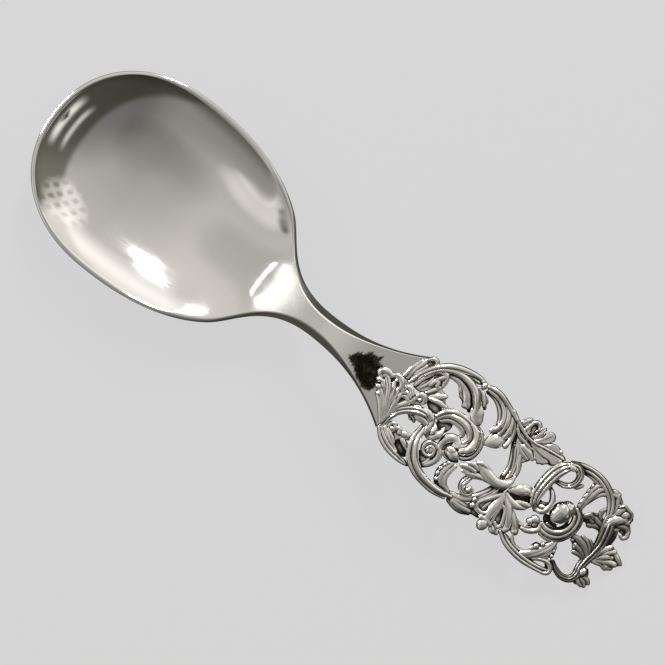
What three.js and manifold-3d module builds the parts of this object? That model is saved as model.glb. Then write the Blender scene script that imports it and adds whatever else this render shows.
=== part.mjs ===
// A silver serving spoon: a plain bowl and stem forged as one blank, and an openwork handle
// of acanthus scrolls and leaves, cast one by one and soldered to the stem's shoulder and
// to each other.
// Millimetres. +X runs from the bowl to the handle's end, +Z is up, and the spoon lies on
// Z = 0 on the flat under its bowl and on the end of its handle.
import * as THREE from "three";
import { mergeVertices } from "three/addons/utils/BufferGeometryUtils.js";
import Module from "manifold-3d";

const wasm = await Module();
wasm.setup();

// Driving dimensions: the bowl
const BOWL_WIDTH = 50.5; // across the outside of the rim
const BOWL_TO_WIDEST = 28.8; // tip to the widest place
const BOWL_TAIL = 40; // widest place to where the oval would close at the heel
const BOWL_DEPTH = 9.8; // rim to the inside of the bottom
const BOWL_ROUNDNESS = 2.18; // exponent of the rim's oval: 2 is an ellipse
const BOWL_FULLNESS = 2.6; // exponent of the cross-section: higher is flatter at the bottom
const SHEET = 1.3; // wall at the bottom of the bowl
const RIM_LAND = 0.8; // width of the rim's sloping edge, seen from above
const RIM_DROP = 0.35; // how far the rim's outer edge lies below its inner edge
const FOOT_FLAT = 0.34; // how deep the worn flat under the bowl is

// Driving dimensions: the stem
const NECK_START = 60; // tip to where the rim leaves the oval for the neck
const STEM_START = 82; // tip to the narrowest place
const STEM_LENGTH = 25.5; // narrowest place to the shoulder line
const STEM_WIDTH = 7.2;
const STEM_THICKNESS = 3.2;
const STEM_EDGE = 1.5; // how far the stem's side edge lies below its top
const STEM_FLANK = 1.9; // width of the sloping flank at the narrowest place, seen from above
const SHOULDER_WIDTH = 21.6;
const SHOULDER_FLARE = 2.3; // exponent of the widening towards the shoulder
const SHOULDER_THICKNESS = 2.2;
const SHOULDER_FLANK = 0.7; // width of the flank at the shoulder line
const HEEL_RUNOUT = 4; // beyond the oval's end, to where the stem has its full thickness
const BELLY_FLATNESS = 3; // exponent of the stem's underside across: higher is flatter

// Driving dimensions: the line of the top, seen from the side
const RIM_SPRING = 1.3; // heel of the rim above its middle
const CREST_RISE = 4.6; // highest place of the stem above the rim's middle
const CREST_STATION = 96; // tip to that highest place
const END_HEIGHT = 0.55; // top line at the handle's end, above the table
const ARC_STATION = 0.5; // one more place on the line, as a share of the way from crest to end
const ARC_HEIGHT = 0.7; // height of the line there, as a share of the crest's height

// Driving dimensions: the openwork handle
const HANDLE_LENGTH = 67.5; // shoulder line to the end of the last leaf
const HANDLE_WIDTH = 29.6; // across the widest scrolls
const RELIEF = 1; // share of the drawn height of every scroll and leaf
const SOLDER_GAP = 0.3; // what a piece keeps from the piece that it is soldered to

// The frame of the handle's drawing, which the scrolls and leaves below are set out in, and
// how much thicker or thinner than drawn its bars and beads are made.
const DRAWN = { shoulder: 20, end: 87.5, width: 29.6 };
const GAUGE = HANDLE_WIDTH / DRAWN.width;

// How finely the surfaces are cut into facets.
const BLANK_CELLS = { across: 10, bowl: 13, neck: 7, stem: 7 };
const SCROLL_RINGS = 1.6; // sections along each span of a scroll's path
const BEAD_FACETS = 8; // round a bead's middle
const BEAD_BANDS = 0.6; // bands from a bead's bottom to its top, for each of those facets
const WELD = 1e-4; // points nearer to each other than this are one point

// How the outline of the blank is set out.
const FRONT_ANGLE = 0.9; // half the stretch of rim that faces forwards, in radians
const FRONT_FADE = 3; // exponent: how soon the front's bulge dies away in the rows behind it
const SLOPE_STEP = 0.01; // radians of the oval over which its slope at the neck is measured
const NECK_REACH = [5.5, 14]; // how far the neck's curve follows the oval and the stem
// The bowl runs out softly into the stem: where that begins, is in full and has died away.
const HEEL_BLEND = { from: 48, full: 65, fades: 66, gone: 96, softness: 0.48 };

const SHOULDER = STEM_START + STEM_LENGTH;
const OVERALL = SHOULDER + HANDLE_LENGTH;

const silver = new THREE.MeshStandardMaterial({
  color: 0xd6d3cc,
  roughness: 0.12,
  metalness: 1,
});
const castSilver = new THREE.MeshStandardMaterial({
  color: 0xc4c0b6,
  roughness: 0.24,
  metalness: 1,
});

const mix = (a, b, t) => a + (b - a) * t;
const clamp01 = (t) => Math.min(1, Math.max(0, t));
const smooth = (t) => clamp01(t) ** 2 * (3 - 2 * clamp01(t));

// Closed triangle mesh from rows of points, as a three.js geometry.
function geometryOf(points, triangles) {
  const geometry = new THREE.BufferGeometry();
  geometry.setAttribute("position", new THREE.Float32BufferAttribute(points.flat(), 3));
  geometry.setIndex(triangles.flat());
  return geometry;
}

// A closed three.js geometry as a solid that can be joined and cut.
function solidOf(geometry) {
  const plain = geometry.clone();
  plain.deleteAttribute("normal");
  plain.deleteAttribute("uv");
  const merged = mergeVertices(plain, WELD);
  return new wasm.Manifold(
    new wasm.Mesh({
      numProp: 3,
      vertProperties: new Float32Array(merged.attributes.position.array),
      triVerts: new Uint32Array(merged.index.array),
    }),
  );
}

function meshOf(name, solid, material) {
  const { numProp, vertProperties, triVerts } = solid.getMesh();
  const points = [];
  for (let i = 0; i < vertProperties.length; i += numProp) {
    points.push([...vertProperties.subarray(i, i + 3)]);
  }
  const geometry = geometryOf(points, [[...triVerts]]);
  geometry.computeVertexNormals();
  const mesh = new THREE.Mesh(geometry, material);
  mesh.name = name;
  return mesh;
}

// The top line of the spoon: stations along it, from the bowl's tip, and their heights.
const RIM_HEIGHT = BOWL_DEPTH + SHEET - FOOT_FLAT;
const topLine = new THREE.SplineCurve(
  [
    [0, RIM_HEIGHT],
    [BOWL_TO_WIDEST, RIM_HEIGHT],
    [BOWL_TO_WIDEST + BOWL_TAIL, RIM_HEIGHT + RIM_SPRING],
    [CREST_STATION, RIM_HEIGHT + CREST_RISE],
    [
      mix(CREST_STATION, OVERALL, ARC_STATION),
      mix(END_HEIGHT, RIM_HEIGHT + CREST_RISE, ARC_HEIGHT),
    ],
    [OVERALL, END_HEIGHT],
  ].map(([s, z]) => new THREE.Vector2(s, z)),
);

// Height of the top line at a station, which is found by halving the line again and again.
const HALVINGS = 40;
function topHeight(station) {
  let low = 0;
  let high = 1;
  for (let i = 0; i < HALVINGS; i++) {
    const middle = (low + high) / 2;
    if (topLine.getPoint(middle).x < station) low = middle;
    else high = middle;
  }
  return topLine.getPoint(low).y;
}

// Half-width of the stem, from its narrowest place to the shoulder line. A share of 0 is its
// side edge and 1 its top, which is narrower by the flank; both are grown by a clearance.
function stemHalf(station, share, grow) {
  const t = clamp01((station - STEM_START) / STEM_LENGTH);
  const half = mix(STEM_WIDTH, SHOULDER_WIDTH, t ** SHOULDER_FLARE) / 2;
  return half - share * mix(STEM_FLANK, SHOULDER_FLANK, smooth(t)) + grow;
}

// A point of the rim's oval at an angle from the tip, drawn in by an inset.
function ovalPoint(angle, inset) {
  const power = 2 / BOWL_ROUNDNESS;
  const along = Math.cos(angle);
  const reach = (along > 0 ? BOWL_TO_WIDEST : BOWL_TAIL) - inset;
  const x = BOWL_TO_WIDEST - Math.sign(along) * Math.abs(along) ** power * reach;
  return [x, Math.sin(angle) ** power * (BOWL_WIDTH / 2 - inset)];
}

// Angle on the oval at which the rim leaves it for the neck.
const neckAngle = (() => {
  const share = (NECK_START - BOWL_TO_WIDEST) / BOWL_TAIL;
  return Math.PI - Math.acos(share ** (BOWL_ROUNDNESS / 2));
})();

// The neck: one curve that leaves along the oval and arrives along the stem.
function neckCurve(share, grow) {
  const inset = RIM_LAND * share - grow;
  const start = ovalPoint(neckAngle, inset);
  const before = ovalPoint(neckAngle - SLOPE_STEP, inset);
  const slope = (start[1] - before[1]) / (start[0] - before[0]);
  const end = [STEM_START, stemHalf(STEM_START, share, grow)];
  return new THREE.CubicBezierCurve(
    new THREE.Vector2(...start),
    new THREE.Vector2(start[0] + NECK_REACH[0], start[1] + slope * NECK_REACH[0]),
    new THREE.Vector2(end[0] - NECK_REACH[1], end[1]),
    new THREE.Vector2(...end),
  );
}

// One side of the outline, from the front stretch of the rim to the shoulder line.
function sideOutline(share, grow) {
  const inset = RIM_LAND * share - grow;
  const points = [];
  for (let i = 0; i < BLANK_CELLS.bowl; i++) {
    points.push(ovalPoint(mix(FRONT_ANGLE, neckAngle, i / BLANK_CELLS.bowl), inset));
  }
  const neck = neckCurve(share, grow);
  for (let i = 0; i < BLANK_CELLS.neck; i++) {
    points.push(neck.getPoint(i / BLANK_CELLS.neck).toArray());
  }
  for (let i = 0; i <= BLANK_CELLS.stem; i++) {
    const station = mix(STEM_START, SHOULDER, i / BLANK_CELLS.stem);
    points.push([station, stemHalf(station, share, grow)]);
  }
  return points;
}

// A grid of [station, across] points that fills the outline: its first row is the front
// stretch of the rim, its last row is the shoulder line.
function outlineGrid(share, grow) {
  const inset = RIM_LAND * share - grow;
  const side = sideOutline(share, grow);
  const rows = side.length - 1;
  const front = (v) => {
    const [x, y] = ovalPoint(Math.abs(v) * FRONT_ANGLE, inset);
    return [x, Math.sign(v) * y];
  };
  return side.map(([sideX, sideY], row) => {
    const fade = (1 - row / rows) ** FRONT_FADE;
    const line = [];
    for (let i = 0; i <= BLANK_CELLS.across; i++) {
      const v = (2 * i) / BLANK_CELLS.across - 1;
      const [frontX, frontY] = front(v);
      const bulge = frontX - side[0][0];
      const spread = frontY - v * side[0][1];
      line.push([sideX + bulge * fade, v * sideY + spread * fade]);
    }
    return line;
  });
}

// 1 at the middle of the bowl and 0 on its oval; it fades softly where the stem begins.
function bowlShare(station, across, inset) {
  const along = station - BOWL_TO_WIDEST;
  const reach = (along < 0 ? BOWL_TO_WIDEST : BOWL_TAIL) - inset;
  const half = BOWL_WIDTH / 2 - inset;
  const n = BOWL_ROUNDNESS;
  const ring = (Math.abs(along / reach) ** n + Math.abs(across / half) ** n) ** (1 / n);
  const inside = 1 - ring ** BOWL_FULLNESS;
  const { from, full, fades, gone, softness } = HEEL_BLEND;
  const fading = smooth((gone - station) / (gone - fades));
  const soft = softness * smooth((station - from) / (full - from)) * fading;
  return (inside + Math.hypot(inside, soft)) / 2;
}

// The bowl and stem blank, grown outwards all over by a clearance.
function blankGeometry(grow) {
  const top = outlineGrid(1, grow);
  const under = outlineGrid(0, grow);
  const stemFull = BOWL_TO_WIDEST + BOWL_TAIL + HEEL_RUNOUT;
  const onStem = (s) => smooth((s - NECK_START) / (stemFull - NECK_START));
  const topPoint = ([s, y]) => {
    const pressed = BOWL_DEPTH * bowlShare(s, y, RIM_LAND);
    return [s, y, topHeight(s) - pressed + grow];
  };
  const underPoint = ([s, y], edge) => {
    const drop = mix(RIM_DROP, STEM_EDGE, onStem(s));
    const towardsShoulder = smooth((s - STEM_START) / STEM_LENGTH);
    const thickness = mix(STEM_THICKNESS, SHOULDER_THICKNESS, towardsShoulder);
    const belly = (thickness - drop) * onStem(s) * (1 - Math.abs(edge) ** BELLY_FLATNESS);
    const bowl = (BOWL_DEPTH + SHEET - drop) * bowlShare(s, y, 0) * (1 - onStem(s));
    const heelBowl = BOWL_DEPTH * bowlShare(s, y, 0) * onStem(s);
    return [s, y, Math.max(0, topHeight(s) - drop - bowl - heelBowl - belly) - grow];
  };

  const columns = BLANK_CELLS.across + 1;
  const rows = top.length;
  const points = top.flat().map(topPoint);
  const base = points.length;
  under.forEach((row) =>
    row.forEach((p, i) => points.push(underPoint(p, (2 * i) / BLANK_CELLS.across - 1))),
  );
  const triangles = [];
  const quad = (a, b, c, d) => triangles.push([a, b, c], [a, c, d]);
  for (let r = 0; r + 1 < rows; r++) {
    for (let c = 0; c + 1 < columns; c++) {
      const a = r * columns + c;
      quad(a, a + columns, a + columns + 1, a + 1);
      quad(base + a, base + a + 1, base + a + columns + 1, base + a + columns);
    }
  }
  const edge = [];
  for (let c = 0; c < columns; c++) edge.push(c);
  for (let r = 1; r < rows; r++) edge.push(r * columns + columns - 1);
  for (let c = columns - 2; c >= 0; c--) edge.push((rows - 1) * columns + c);
  for (let r = rows - 2; r > 0; r--) edge.push(r * columns);
  edge.forEach((a, i) => {
    const b = edge[(i + 1) % edge.length];
    quad(a, b, base + b, base + a);
  });
  return geometryOf(points, triangles);
}

// A drawn point of the handle, with its height above the top line, in the spoon's frame.
function place(x, y, rise) {
  const share = (x - DRAWN.shoulder) / (DRAWN.end - DRAWN.shoulder);
  const station = SHOULDER + share * HANDLE_LENGTH;
  const across = (y / DRAWN.width) * HANDLE_WIDTH;
  return new THREE.Vector3(station, across, topHeight(station) + rise * RELIEF);
}

// A value that runs smoothly through a list as t goes from 0 to 1.
function along(values, t) {
  const last = values.length - 1;
  if (last === 0) return values[0];
  const i = Math.min(last - 1, Math.floor(t * last));
  return mix(values[i], values[i + 1], smooth(t * last - i));
}

// Cross-sections of a strand, across and up, in shares of its half-width and half-height.
const REEDED = [[1, -0.2], [0.62, 0.8], [-0.62, 0.8], [-1, -0.2], [-0.6, -0.9], [0.6, -0.9]];
const RIDGED = [[1, -0.25], [0, 1], [-1, -0.25], [-0.6, -0.9], [0.6, -0.9]];
const END_SHARE = 0.5; // a rounded end's last ring, in shares of the half-width
const END_REACH = 0.6; // how far that ring lies beyond the path's end, in the same shares

// A tapering bar swept along a drawn path. half is its drawn half-width and rise its height
// above the top line, both from the path's start to its end; flat is its height over its width.
function strand({ section, steps, rootCap }, path, half, rise, flat) {
  return (grow) => {
    const curve = new THREE.CatmullRomCurve3(
      path.map(([x, y], i) => place(x, y, along(rise, i / (path.length - 1)))),
      false,
      "centripetal",
    );
    const rings = [];
    const ring = (centre, tangent, reach, width) => {
      const side = new THREE.Vector3(-tangent.y, tangent.x, 0).normalize();
      const middle = centre.clone().addScaledVector(tangent, reach);
      rings.push(
        section.map(([a, b]) => {
          const p = middle.clone().addScaledVector(side, a * (width + grow));
          return [p.x, p.y, p.z + b * (width * flat * RELIEF + grow)];
        }),
      );
    };
    const cap = (t, sense) => {
      const width = along(half, t) * GAUGE;
      const reach = sense * (width * END_REACH + grow);
      ring(curve.getPointAt(t), curve.getTangentAt(t), reach, width * END_SHARE);
    };
    if (rootCap) cap(0, -1);
    for (let i = 0; i <= steps; i++) {
      const t = i / steps;
      ring(curve.getPointAt(t), curve.getTangentAt(t), 0, along(half, t) * GAUGE);
    }
    cap(1, 1);
    return sweptGeometry(rings);
  };
}

// Rings of points joined into a closed bar.
function sweptGeometry(rings) {
  const sides = rings[0].length;
  const triangles = [];
  for (let r = 0; r + 1 < rings.length; r++) {
    for (let i = 0; i < sides; i++) {
      const a = r * sides + i;
      const b = r * sides + ((i + 1) % sides);
      triangles.push([a, b, a + sides], [b, b + sides, a + sides]);
    }
  }
  const last = (rings.length - 1) * sides;
  for (let i = 1; i + 1 < sides; i++) {
    triangles.push([0, i + 1, i], [last, last + i, last + i + 1]);
  }
  return geometryOf(rings.flat(), triangles);
}

const SCROLL_FLAT = 0.8;
const FINGER_FLAT = 0.65;

// A scroll's bar is rounded at both ends; a leaf's finger starts square, inside its neighbours.
function scroll(path, half, rise, flat = SCROLL_FLAT) {
  const steps = Math.round(SCROLL_RINGS * (path.length - 1));
  return strand({ section: REEDED, steps, rootCap: true }, path, half, rise, flat);
}

function finger(path, half, rise, flat = FINGER_FLAT) {
  return strand({ section: RIDGED, steps: path.length, rootCap: false }, path, half, rise, flat);
}

// A round bead or bud; sizes are its drawn half-widths along, across and up, or one for all.
function bead(x, y, rise, sizes, facets = BEAD_FACETS) {
  const drawn = Array.isArray(sizes) ? sizes : [sizes, sizes, sizes];
  const [rx, ry, rz] = drawn.map((size) => size * GAUGE);
  return (grow) => {
    const ball = new THREE.SphereGeometry(1, facets, Math.ceil(facets * BEAD_BANDS));
    ball.scale(rx + grow, ry + grow, rz * RELIEF + grow);
    const centre = place(x, y, rise);
    return ball.translate(centre.x, centre.y, centre.z);
  };
}

// Heights of the layers above the top line: what lies on the shoulder's plate, and the
// three layers that cross each other beyond it.
const ON = 0.95;
const OVER = 0.55;
const LEVEL = -0.25;
const UNDER = -0.95;

// Each piece of the handle, as the bars and beads that it is joined from. A piece is cut
// where it meets one that is listed before it.
const handlePieces = {
  // The smooth tongue in the middle, whose lobed end lies over the great volute.
  center_tongue: [
    scroll(
      [[53.7, 0.6], [53.3, -1.2], [51.4, -2.8], [48.6, -3.1], [46.0, -3.4], [43.6, -4.3], [42.1, -4.7]],
      [0.5, 1.0, 1.2, 1.5, 2.0, 1.6, 0.9],
      [OVER, OVER, OVER + 0.3, OVER + 0.3, OVER, OVER],
      0.5,
    ),
    finger([[46.8, -2.5], [45.3, -1.9], [44.4, -2.2]], [0.9, 0.9, 0.6], [OVER, OVER]),
    finger([[45.6, -3.4], [43.9, -3.2], [42.9, -3.2]], [0.8, 0.8, 0.6], [OVER, OVER]),
    finger([[46.4, -4.7], [44.6, -5.3], [43.0, -5.6]], [0.8, 0.8, 0.6], [OVER, OVER]),
  ],

  // The tall reeded ring that closes the middle of the handle, with a loop at each end.
  ring_scroll: [
    scroll(
      [
        [63.8, 11.8], [61.9, 10.4], [60.6, 8.0], [60.1, 4.6], [60.2, 1.6], [61.0, -1.0],
        [62.6, -2.0], [64.2, -1.0], [64.5, 0.9], [63.6, 2.8], [62.2, 4.2],
      ],
      [0.8, 1.5, 1.5, 1.2, 0.7, 0.55],
      [OVER, OVER + 0.2, OVER, OVER, OVER, LEVEL],
      0.7,
    ),
    scroll(
      [[63.2, 11.6], [65.0, 11.4], [66.0, 9.8], [65.6, 8.0], [64.2, 6.9], [62.2, 6.6]],
      [0.75, 0.7, 0.65, 0.6],
      [OVER + 0.2, OVER, LEVEL, LEVEL],
    ),
    finger([[65.5, 8.6], [66.6, 8.7], [67.3, 9.5]], [0.45, 0.5, 0.4], [LEVEL, LEVEL]),
  ],

  // The great volute in the middle of the handle.
  great_volute: [
    scroll(
      [
        [29.9, -0.4], [30.5, 1.5], [32.7, 3.1], [35.6, 3.5], [38.3, 2.8], [40.2, 0.9],
        [40.8, -1.2], [40.1, -2.8], [39.0, -3.0],
      ],
      [0.9, 1.2, 1.4, 1.7, 1.8, 1.5, 0.9],
      [LEVEL, OVER, OVER + 0.2, OVER],
      0.6,
    ),
    finger(
      [[37.6, 4.2], [40.6, 3.0], [42.2, 0.6], [42.3, -1.8], [41.0, -3.6]],
      [0.5, 0.75, 0.7, 0.5],
      [LEVEL, LEVEL, LEVEL],
    ),
    finger([[33.4, 2.1], [35.8, 1.9], [37.0, 1.0], [36.8, 0.2]], [0.6, 0.8, 0.6], [OVER, OVER]),
    finger([[37.0, 2.0], [38.5, 0.9], [38.6, -0.3]], [0.8, 0.8, 0.6], [OVER, OVER]),
  ],

  // The big plain ball that the right-hand volute winds round.
  ball_boss: [bead(68.1, 1.4, OVER + 0.2, [2.5, 3.1, 2.0], 14)],

  // The spreading acanthus leaf on the upper edge.
  crown_leaf: [
    finger(
      [[45.2, 11.7], [48.0, 10.6], [51.0, 9.9], [55.0, 10.4], [59.2, 11.4]],
      [0.7, 0.8, 0.8, 0.6],
      [OVER, OVER, OVER],
    ),
    finger([[46.6, 11.6], [47.3, 13.0], [48.1, 13.8]], [0.9, 1.1, 0.8], [LEVEL, LEVEL]),
    finger([[47.6, 11.4], [48.6, 13.2], [49.9, 14.2]], [0.9, 1.1, 0.9], [LEVEL, LEVEL]),
    finger([[49.7, 14.1], [50.9, 13.6], [51.0, 12.6]], [0.8, 0.8, 0.7], [LEVEL, OVER]),
    finger([[50.2, 10.9], [51.6, 12.6], [52.0, 13.8]], [0.9, 0.9, 0.7], [LEVEL, LEVEL]),
    finger([[51.6, 10.7], [53.2, 12.4], [54.3, 13.8]], [0.9, 1.2, 1.1], [LEVEL, LEVEL]),
    finger([[53.4, 10.8], [55.6, 12.0], [57.1, 12.4]], [0.9, 1.2, 0.9], [LEVEL, LEVEL]),
    finger([[55.4, 10.9], [58.0, 11.7], [59.6, 11.6]], [0.9, 1.1, 0.7], [LEVEL, LEVEL]),
    finger([[55.0, 10.0], [57.4, 9.6], [59.2, 9.8]], [0.9, 1.1, 0.8], [LEVEL, LEVEL]),
    finger([[53.6, 9.7], [56.0, 8.8], [57.8, 8.1]], [0.9, 1.2, 0.9], [LEVEL, LEVEL]),
    finger([[52.0, 9.5], [54.2, 8.2], [55.5, 7.2]], [0.9, 1.1, 0.8], [LEVEL, LEVEL]),
    finger([[50.2, 9.7], [52.0, 7.8], [53.2, 6.8]], [0.8, 1.0, 0.8], [LEVEL, LEVEL]),
    finger([[48.8, 10.0], [49.8, 7.6], [51.8, 5.4]], [0.8, 1.2, 1.1], [LEVEL, LEVEL]),
  ],

  // The fluted leaf that hangs from the upper edge and turns down to a broad tongue.
  crest_leaf: [
    scroll([[35.5, 13.9], [38.4, 14.1], [42.0, 13.1], [44.4, 12.1]], [0.7, 0.8, 0.7], [LEVEL, LEVEL]),
    finger(
      [[35.8, 12.8], [39.2, 12.6], [42.0, 11.0], [43.1, 8.6], [42.5, 7.0]],
      [0.8, 1.0, 1.1, 0.8],
      [LEVEL, LEVEL, LEVEL],
    ),
    scroll(
      [[37.8, 13.3], [41.6, 12.2], [44.3, 9.6], [44.9, 6.8], [44.0, 4.4], [42.9, 3.0]],
      [0.8, 1.0, 1.3, 1.8, 1.6, 0.9],
      [LEVEL, LEVEL, OVER],
      0.5,
    ),
    finger(
      [[40.8, 12.9], [44.2, 11.2], [46.2, 8.8], [47.1, 6.4], [46.9, 5.4]],
      [0.8, 1.1, 1.0, 0.8],
      [LEVEL, LEVEL, OVER],
    ),
  ],

  // The acanthus that climbs the lower half of the shoulder's plate.
  heel_acanthus: [
    finger([[20.2, -9.2], [17.9, -6.6], [15.8, -4.9], [15.0, -4.1]], [0.5, 0.9, 0.8], [ON, ON]),
    finger([[20.2, -8.8], [17.6, -5.2], [15.4, -3.4], [14.2, -2.6]], [0.5, 0.9, 0.85], [ON, ON]),
    finger([[20.2, -8.2], [17.8, -4.2], [15.0, -1.6], [13.2, -0.9]], [0.5, 0.9, 0.8], [ON, ON]),
    finger([[20.3, -7.6], [18.3, -3.4], [15.6, -0.4], [13.1, 0.5]], [0.5, 0.9, 1.1], [ON, ON]),
    finger([[20.3, -7.0], [18.8, -3.0], [17.2, -0.4], [16.6, 1.3]], [0.5, 1.0, 1.1], [ON, ON + 0.2]),
    finger([[20.4, -6.6], [19.6, -3.0], [19.5, -0.8], [20.2, 0.8]], [0.5, 1.0, 1.1], [ON, ON + 0.2]),
    finger([[20.7, -6.0], [20.9, -3.0], [22.0, -0.8], [23.8, 0.9]], [0.5, 1.0, 1.2], [ON, ON]),
  ],

  // The arched scroll that springs from the lower shoulder and ends in a leaf's head.
  arch_scroll: [
    scroll(
      [[20.7, -9.7], [20.8, -7.0], [21.6, -4.5], [23.4, -2.6], [25.6, -1.5], [27.6, -1.5], [28.7, -2.2]],
      [0.8, 0.9, 0.95, 1.2, 1.5, 0.9],
      [LEVEL, LEVEL, OVER, OVER],
      0.6,
    ),
    finger([[23.8, -2.8], [24.8, -3.3], [25.5, -3.7]], [0.6, 0.7, 0.5], [LEVEL, LEVEL]),
  ],

  // The long leaf inside the upper edge, which ends in a smooth round-tipped blade.
  upper_blade: [
    scroll(
      [
        [22.4, 7.4], [24.9, 10.2], [28.0, 11.6], [31.2, 11.8], [34.0, 10.6], [35.6, 8.6],
        [36.9, 6.8], [37.8, 5.6],
      ],
      [0.7, 0.8, 0.9, 1.1, 1.3, 1.7, 1.1],
      [ON, LEVEL, LEVEL, OVER, OVER],
      0.55,
    ),
    finger([[33.0, 12.3], [35.2, 11.8], [36.6, 10.4], [37.3, 8.6]], [0.5, 0.9, 0.7], [LEVEL, LEVEL]),
  ],

  // The strap along the upper edge, from the shoulder to a small bud.
  outer_strap: [
    scroll(
      [[19.6, 3.0], [20.7, 6.4], [22.9, 10.0], [26.0, 12.4], [29.6, 13.7], [33.2, 13.9]],
      [0.55, 0.8, 0.95, 0.85],
      [ON, ON, LEVEL, LEVEL],
    ),
    bead(34.2, 13.5, LEVEL, 0.95),
  ],

  // The reeded scroll along the lower edge.
  lower_rim: [
    scroll(
      [
        [28.4, -3.2], [28.2, -5.8], [29.0, -8.5], [30.7, -10.9], [33.2, -12.6], [36.2, -13.4],
        [40.0, -13.5], [42.8, -13.1], [44.6, -12.5],
      ],
      [0.9, 1.15, 1.25, 1.2, 1.0],
      [LEVEL, OVER, LEVEL],
      0.7,
    ),
  ],

  // The hooded bud inside the great volute.
  hooded_bud: [
    bead(38.0, -4.6, LEVEL, [2.0, 1.3, 1.2], 10),
    finger(
      [[36.8, -4.6], [35.2, -3.6], [35.3, -1.7], [36.6, -0.9], [37.7, -1.5]],
      [0.8, 0.9, 0.9, 0.6],
      [LEVEL, LEVEL, OVER],
    ),
  ],

  // The scroll that winds round the ball.
  boss_scroll: [
    scroll(
      [[70.6, 4.4], [72.0, 2.6], [72.2, 0.0], [71.2, -2.8], [69.2, -4.4], [67.0, -4.6], [65.4, -3.8]],
      [0.9, 1.2, 1.4, 1.3, 1.0],
      [LEVEL, LEVEL, LEVEL],
      0.6,
    ),
  ],

  // The little curled leaf where the arched scroll meets the great volute.
  hooked_leaf: [
    bead(30.8, -3.2, LEVEL, [1.2, 1.2, 1.0]),
    finger([[30.8, -4.2], [32.2, -3.8], [32.9, -2.4], [33.0, -0.8]], [0.7, 0.8, 0.6], [LEVEL, LEVEL]),
  ],

  // The fluted fan that covers the upper half of the shoulder's plate.
  shell_fan: [
    finger([[21.0, 2.6], [22.6, 5.8], [24.8, 8.7]], [0.7, 1.3, 1.0], [ON, ON, LEVEL]),
    finger([[21.6, 2.4], [24.2, 4.6], [25.6, 7.0]], [0.7, 1.4, 0.9], [ON, ON, LEVEL]),
    finger([[22.4, 2.6], [25.4, 3.4], [27.8, 4.4]], [0.7, 1.1, 0.8], [ON, LEVEL, LEVEL]),
    finger([[24.6, 2.8], [27.2, 2.9], [29.4, 3.6]], [0.7, 0.9, 0.6], [LEVEL, LEVEL]),
  ],

  // The three ribs beside it, which end in a round lobe on the plate's edge.
  shoulder_ribs: [
    finger([[17.7, 2.8], [17.7, 5.6], [18.6, 8.8]], [0.5, 0.7, 0.6], [ON, ON]),
    finger([[18.6, 2.8], [18.9, 6.0], [20.8, 9.9]], [0.5, 0.8, 1.0], [ON, ON]),
  ],

  // The small curled leaf under the long blade.
  curled_leaf: [
    finger([[26.6, 10.0], [29.4, 10.4], [32.0, 9.5], [34.0, 7.4]], [0.6, 0.9, 1.2, 1.0], [LEVEL, UNDER]),
    finger([[29.8, 9.9], [31.0, 8.8], [31.1, 7.9]], [0.7, 0.8, 0.6], [LEVEL, UNDER]),
    finger([[31.2, 9.6], [32.8, 8.0], [33.3, 7.0]], [0.8, 0.9, 0.7], [LEVEL, UNDER]),
  ],

  // The rolled rosette beside the lower edge.
  rosette: [
    bead(33.1, -6.8, LEVEL, [1.6, 1.6, 1.0], 10),
    finger(
      [[33.9, -5.6], [35.3, -6.4], [35.4, -8.2], [34.8, -9.8], [33.8, -10.9]],
      [0.8, 1.0, 1.1, 0.8],
      [LEVEL, UNDER],
    ),
  ],

  // The palmette under the middle, with a ball at its foot.
  palmette: [
    finger([[53.8, -4.8], [52.8, -7.0], [51.6, -9.2]], [0.9, 1.4, 1.2], [LEVEL, LEVEL], 0.5),
    finger([[54.0, -4.8], [53.6, -8.0], [53.2, -10.6]], [0.8, 1.0, 0.8], [LEVEL, LEVEL]),
    finger([[54.4, -4.8], [54.8, -8.0], [54.8, -11.0]], [0.7, 0.9, 0.9], [LEVEL, LEVEL]),
    finger([[54.8, -4.8], [56.4, -8.2], [57.4, -10.8]], [0.7, 0.8, 0.9], [LEVEL, LEVEL]),
    finger([[55.2, -4.8], [58.0, -7.8], [59.5, -9.9]], [0.8, 1.0, 1.0], [LEVEL, LEVEL]),
    finger([[55.6, -4.8], [59.0, -7.2], [61.3, -8.7]], [0.8, 1.1, 1.0], [LEVEL, LEVEL]),
    finger([[56.6, -10.4], [57.4, -11.6], [57.6, -12.2]], [0.9, 0.9, 0.7], [LEVEL, LEVEL]),
    bead(54.5, -12.8, LEVEL, [1.4, 1.5, 1.1], 10),
  ],

  // The arch along the upper edge of the handle's end.
  top_arch: [
    scroll(
      [[62.2, 12.3], [64.6, 13.3], [67.6, 13.7], [71.0, 13.4], [74.0, 12.4], [76.4, 10.8], [77.6, 8.4]],
      [0.7, 1.0, 1.1, 1.2, 1.0],
      [UNDER, LEVEL, LEVEL, LEVEL],
      0.65,
    ),
    finger([[74.4, 13.1], [75.8, 12.8], [77.2, 11.6]], [0.7, 0.8, 0.7], [LEVEL, LEVEL]),
  ],

  // The buds between the ring and the ball, on their small stem.
  bud_scroll: [
    bead(63.7, -4.1, LEVEL, [1.3, 1.2, 1.0]),
    bead(63.0, -5.3, LEVEL, [0.9, 0.9, 0.8]),
    finger([[63.8, -5.0], [65.2, -6.0], [64.6, -7.2], [63.2, -8.2]], [0.7, 0.8, 0.7], [LEVEL, LEVEL]),
  ],

  // The main stem, which runs down through the handle under the tongue.
  main_stem: [
    scroll(
      [
        [46.8, 10.4], [48.6, 7.4], [50.5, 4.2], [52.1, 1.2], [52.5, -2.0], [51.8, -5.4],
        [50.3, -8.2], [48.0, -10.4], [45.4, -11.6],
      ],
      [1.0, 1.6, 1.7, 1.5, 1.3, 1.2, 1.0],
      [UNDER, UNDER, UNDER, UNDER],
      0.6,
    ),
  ],

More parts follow.
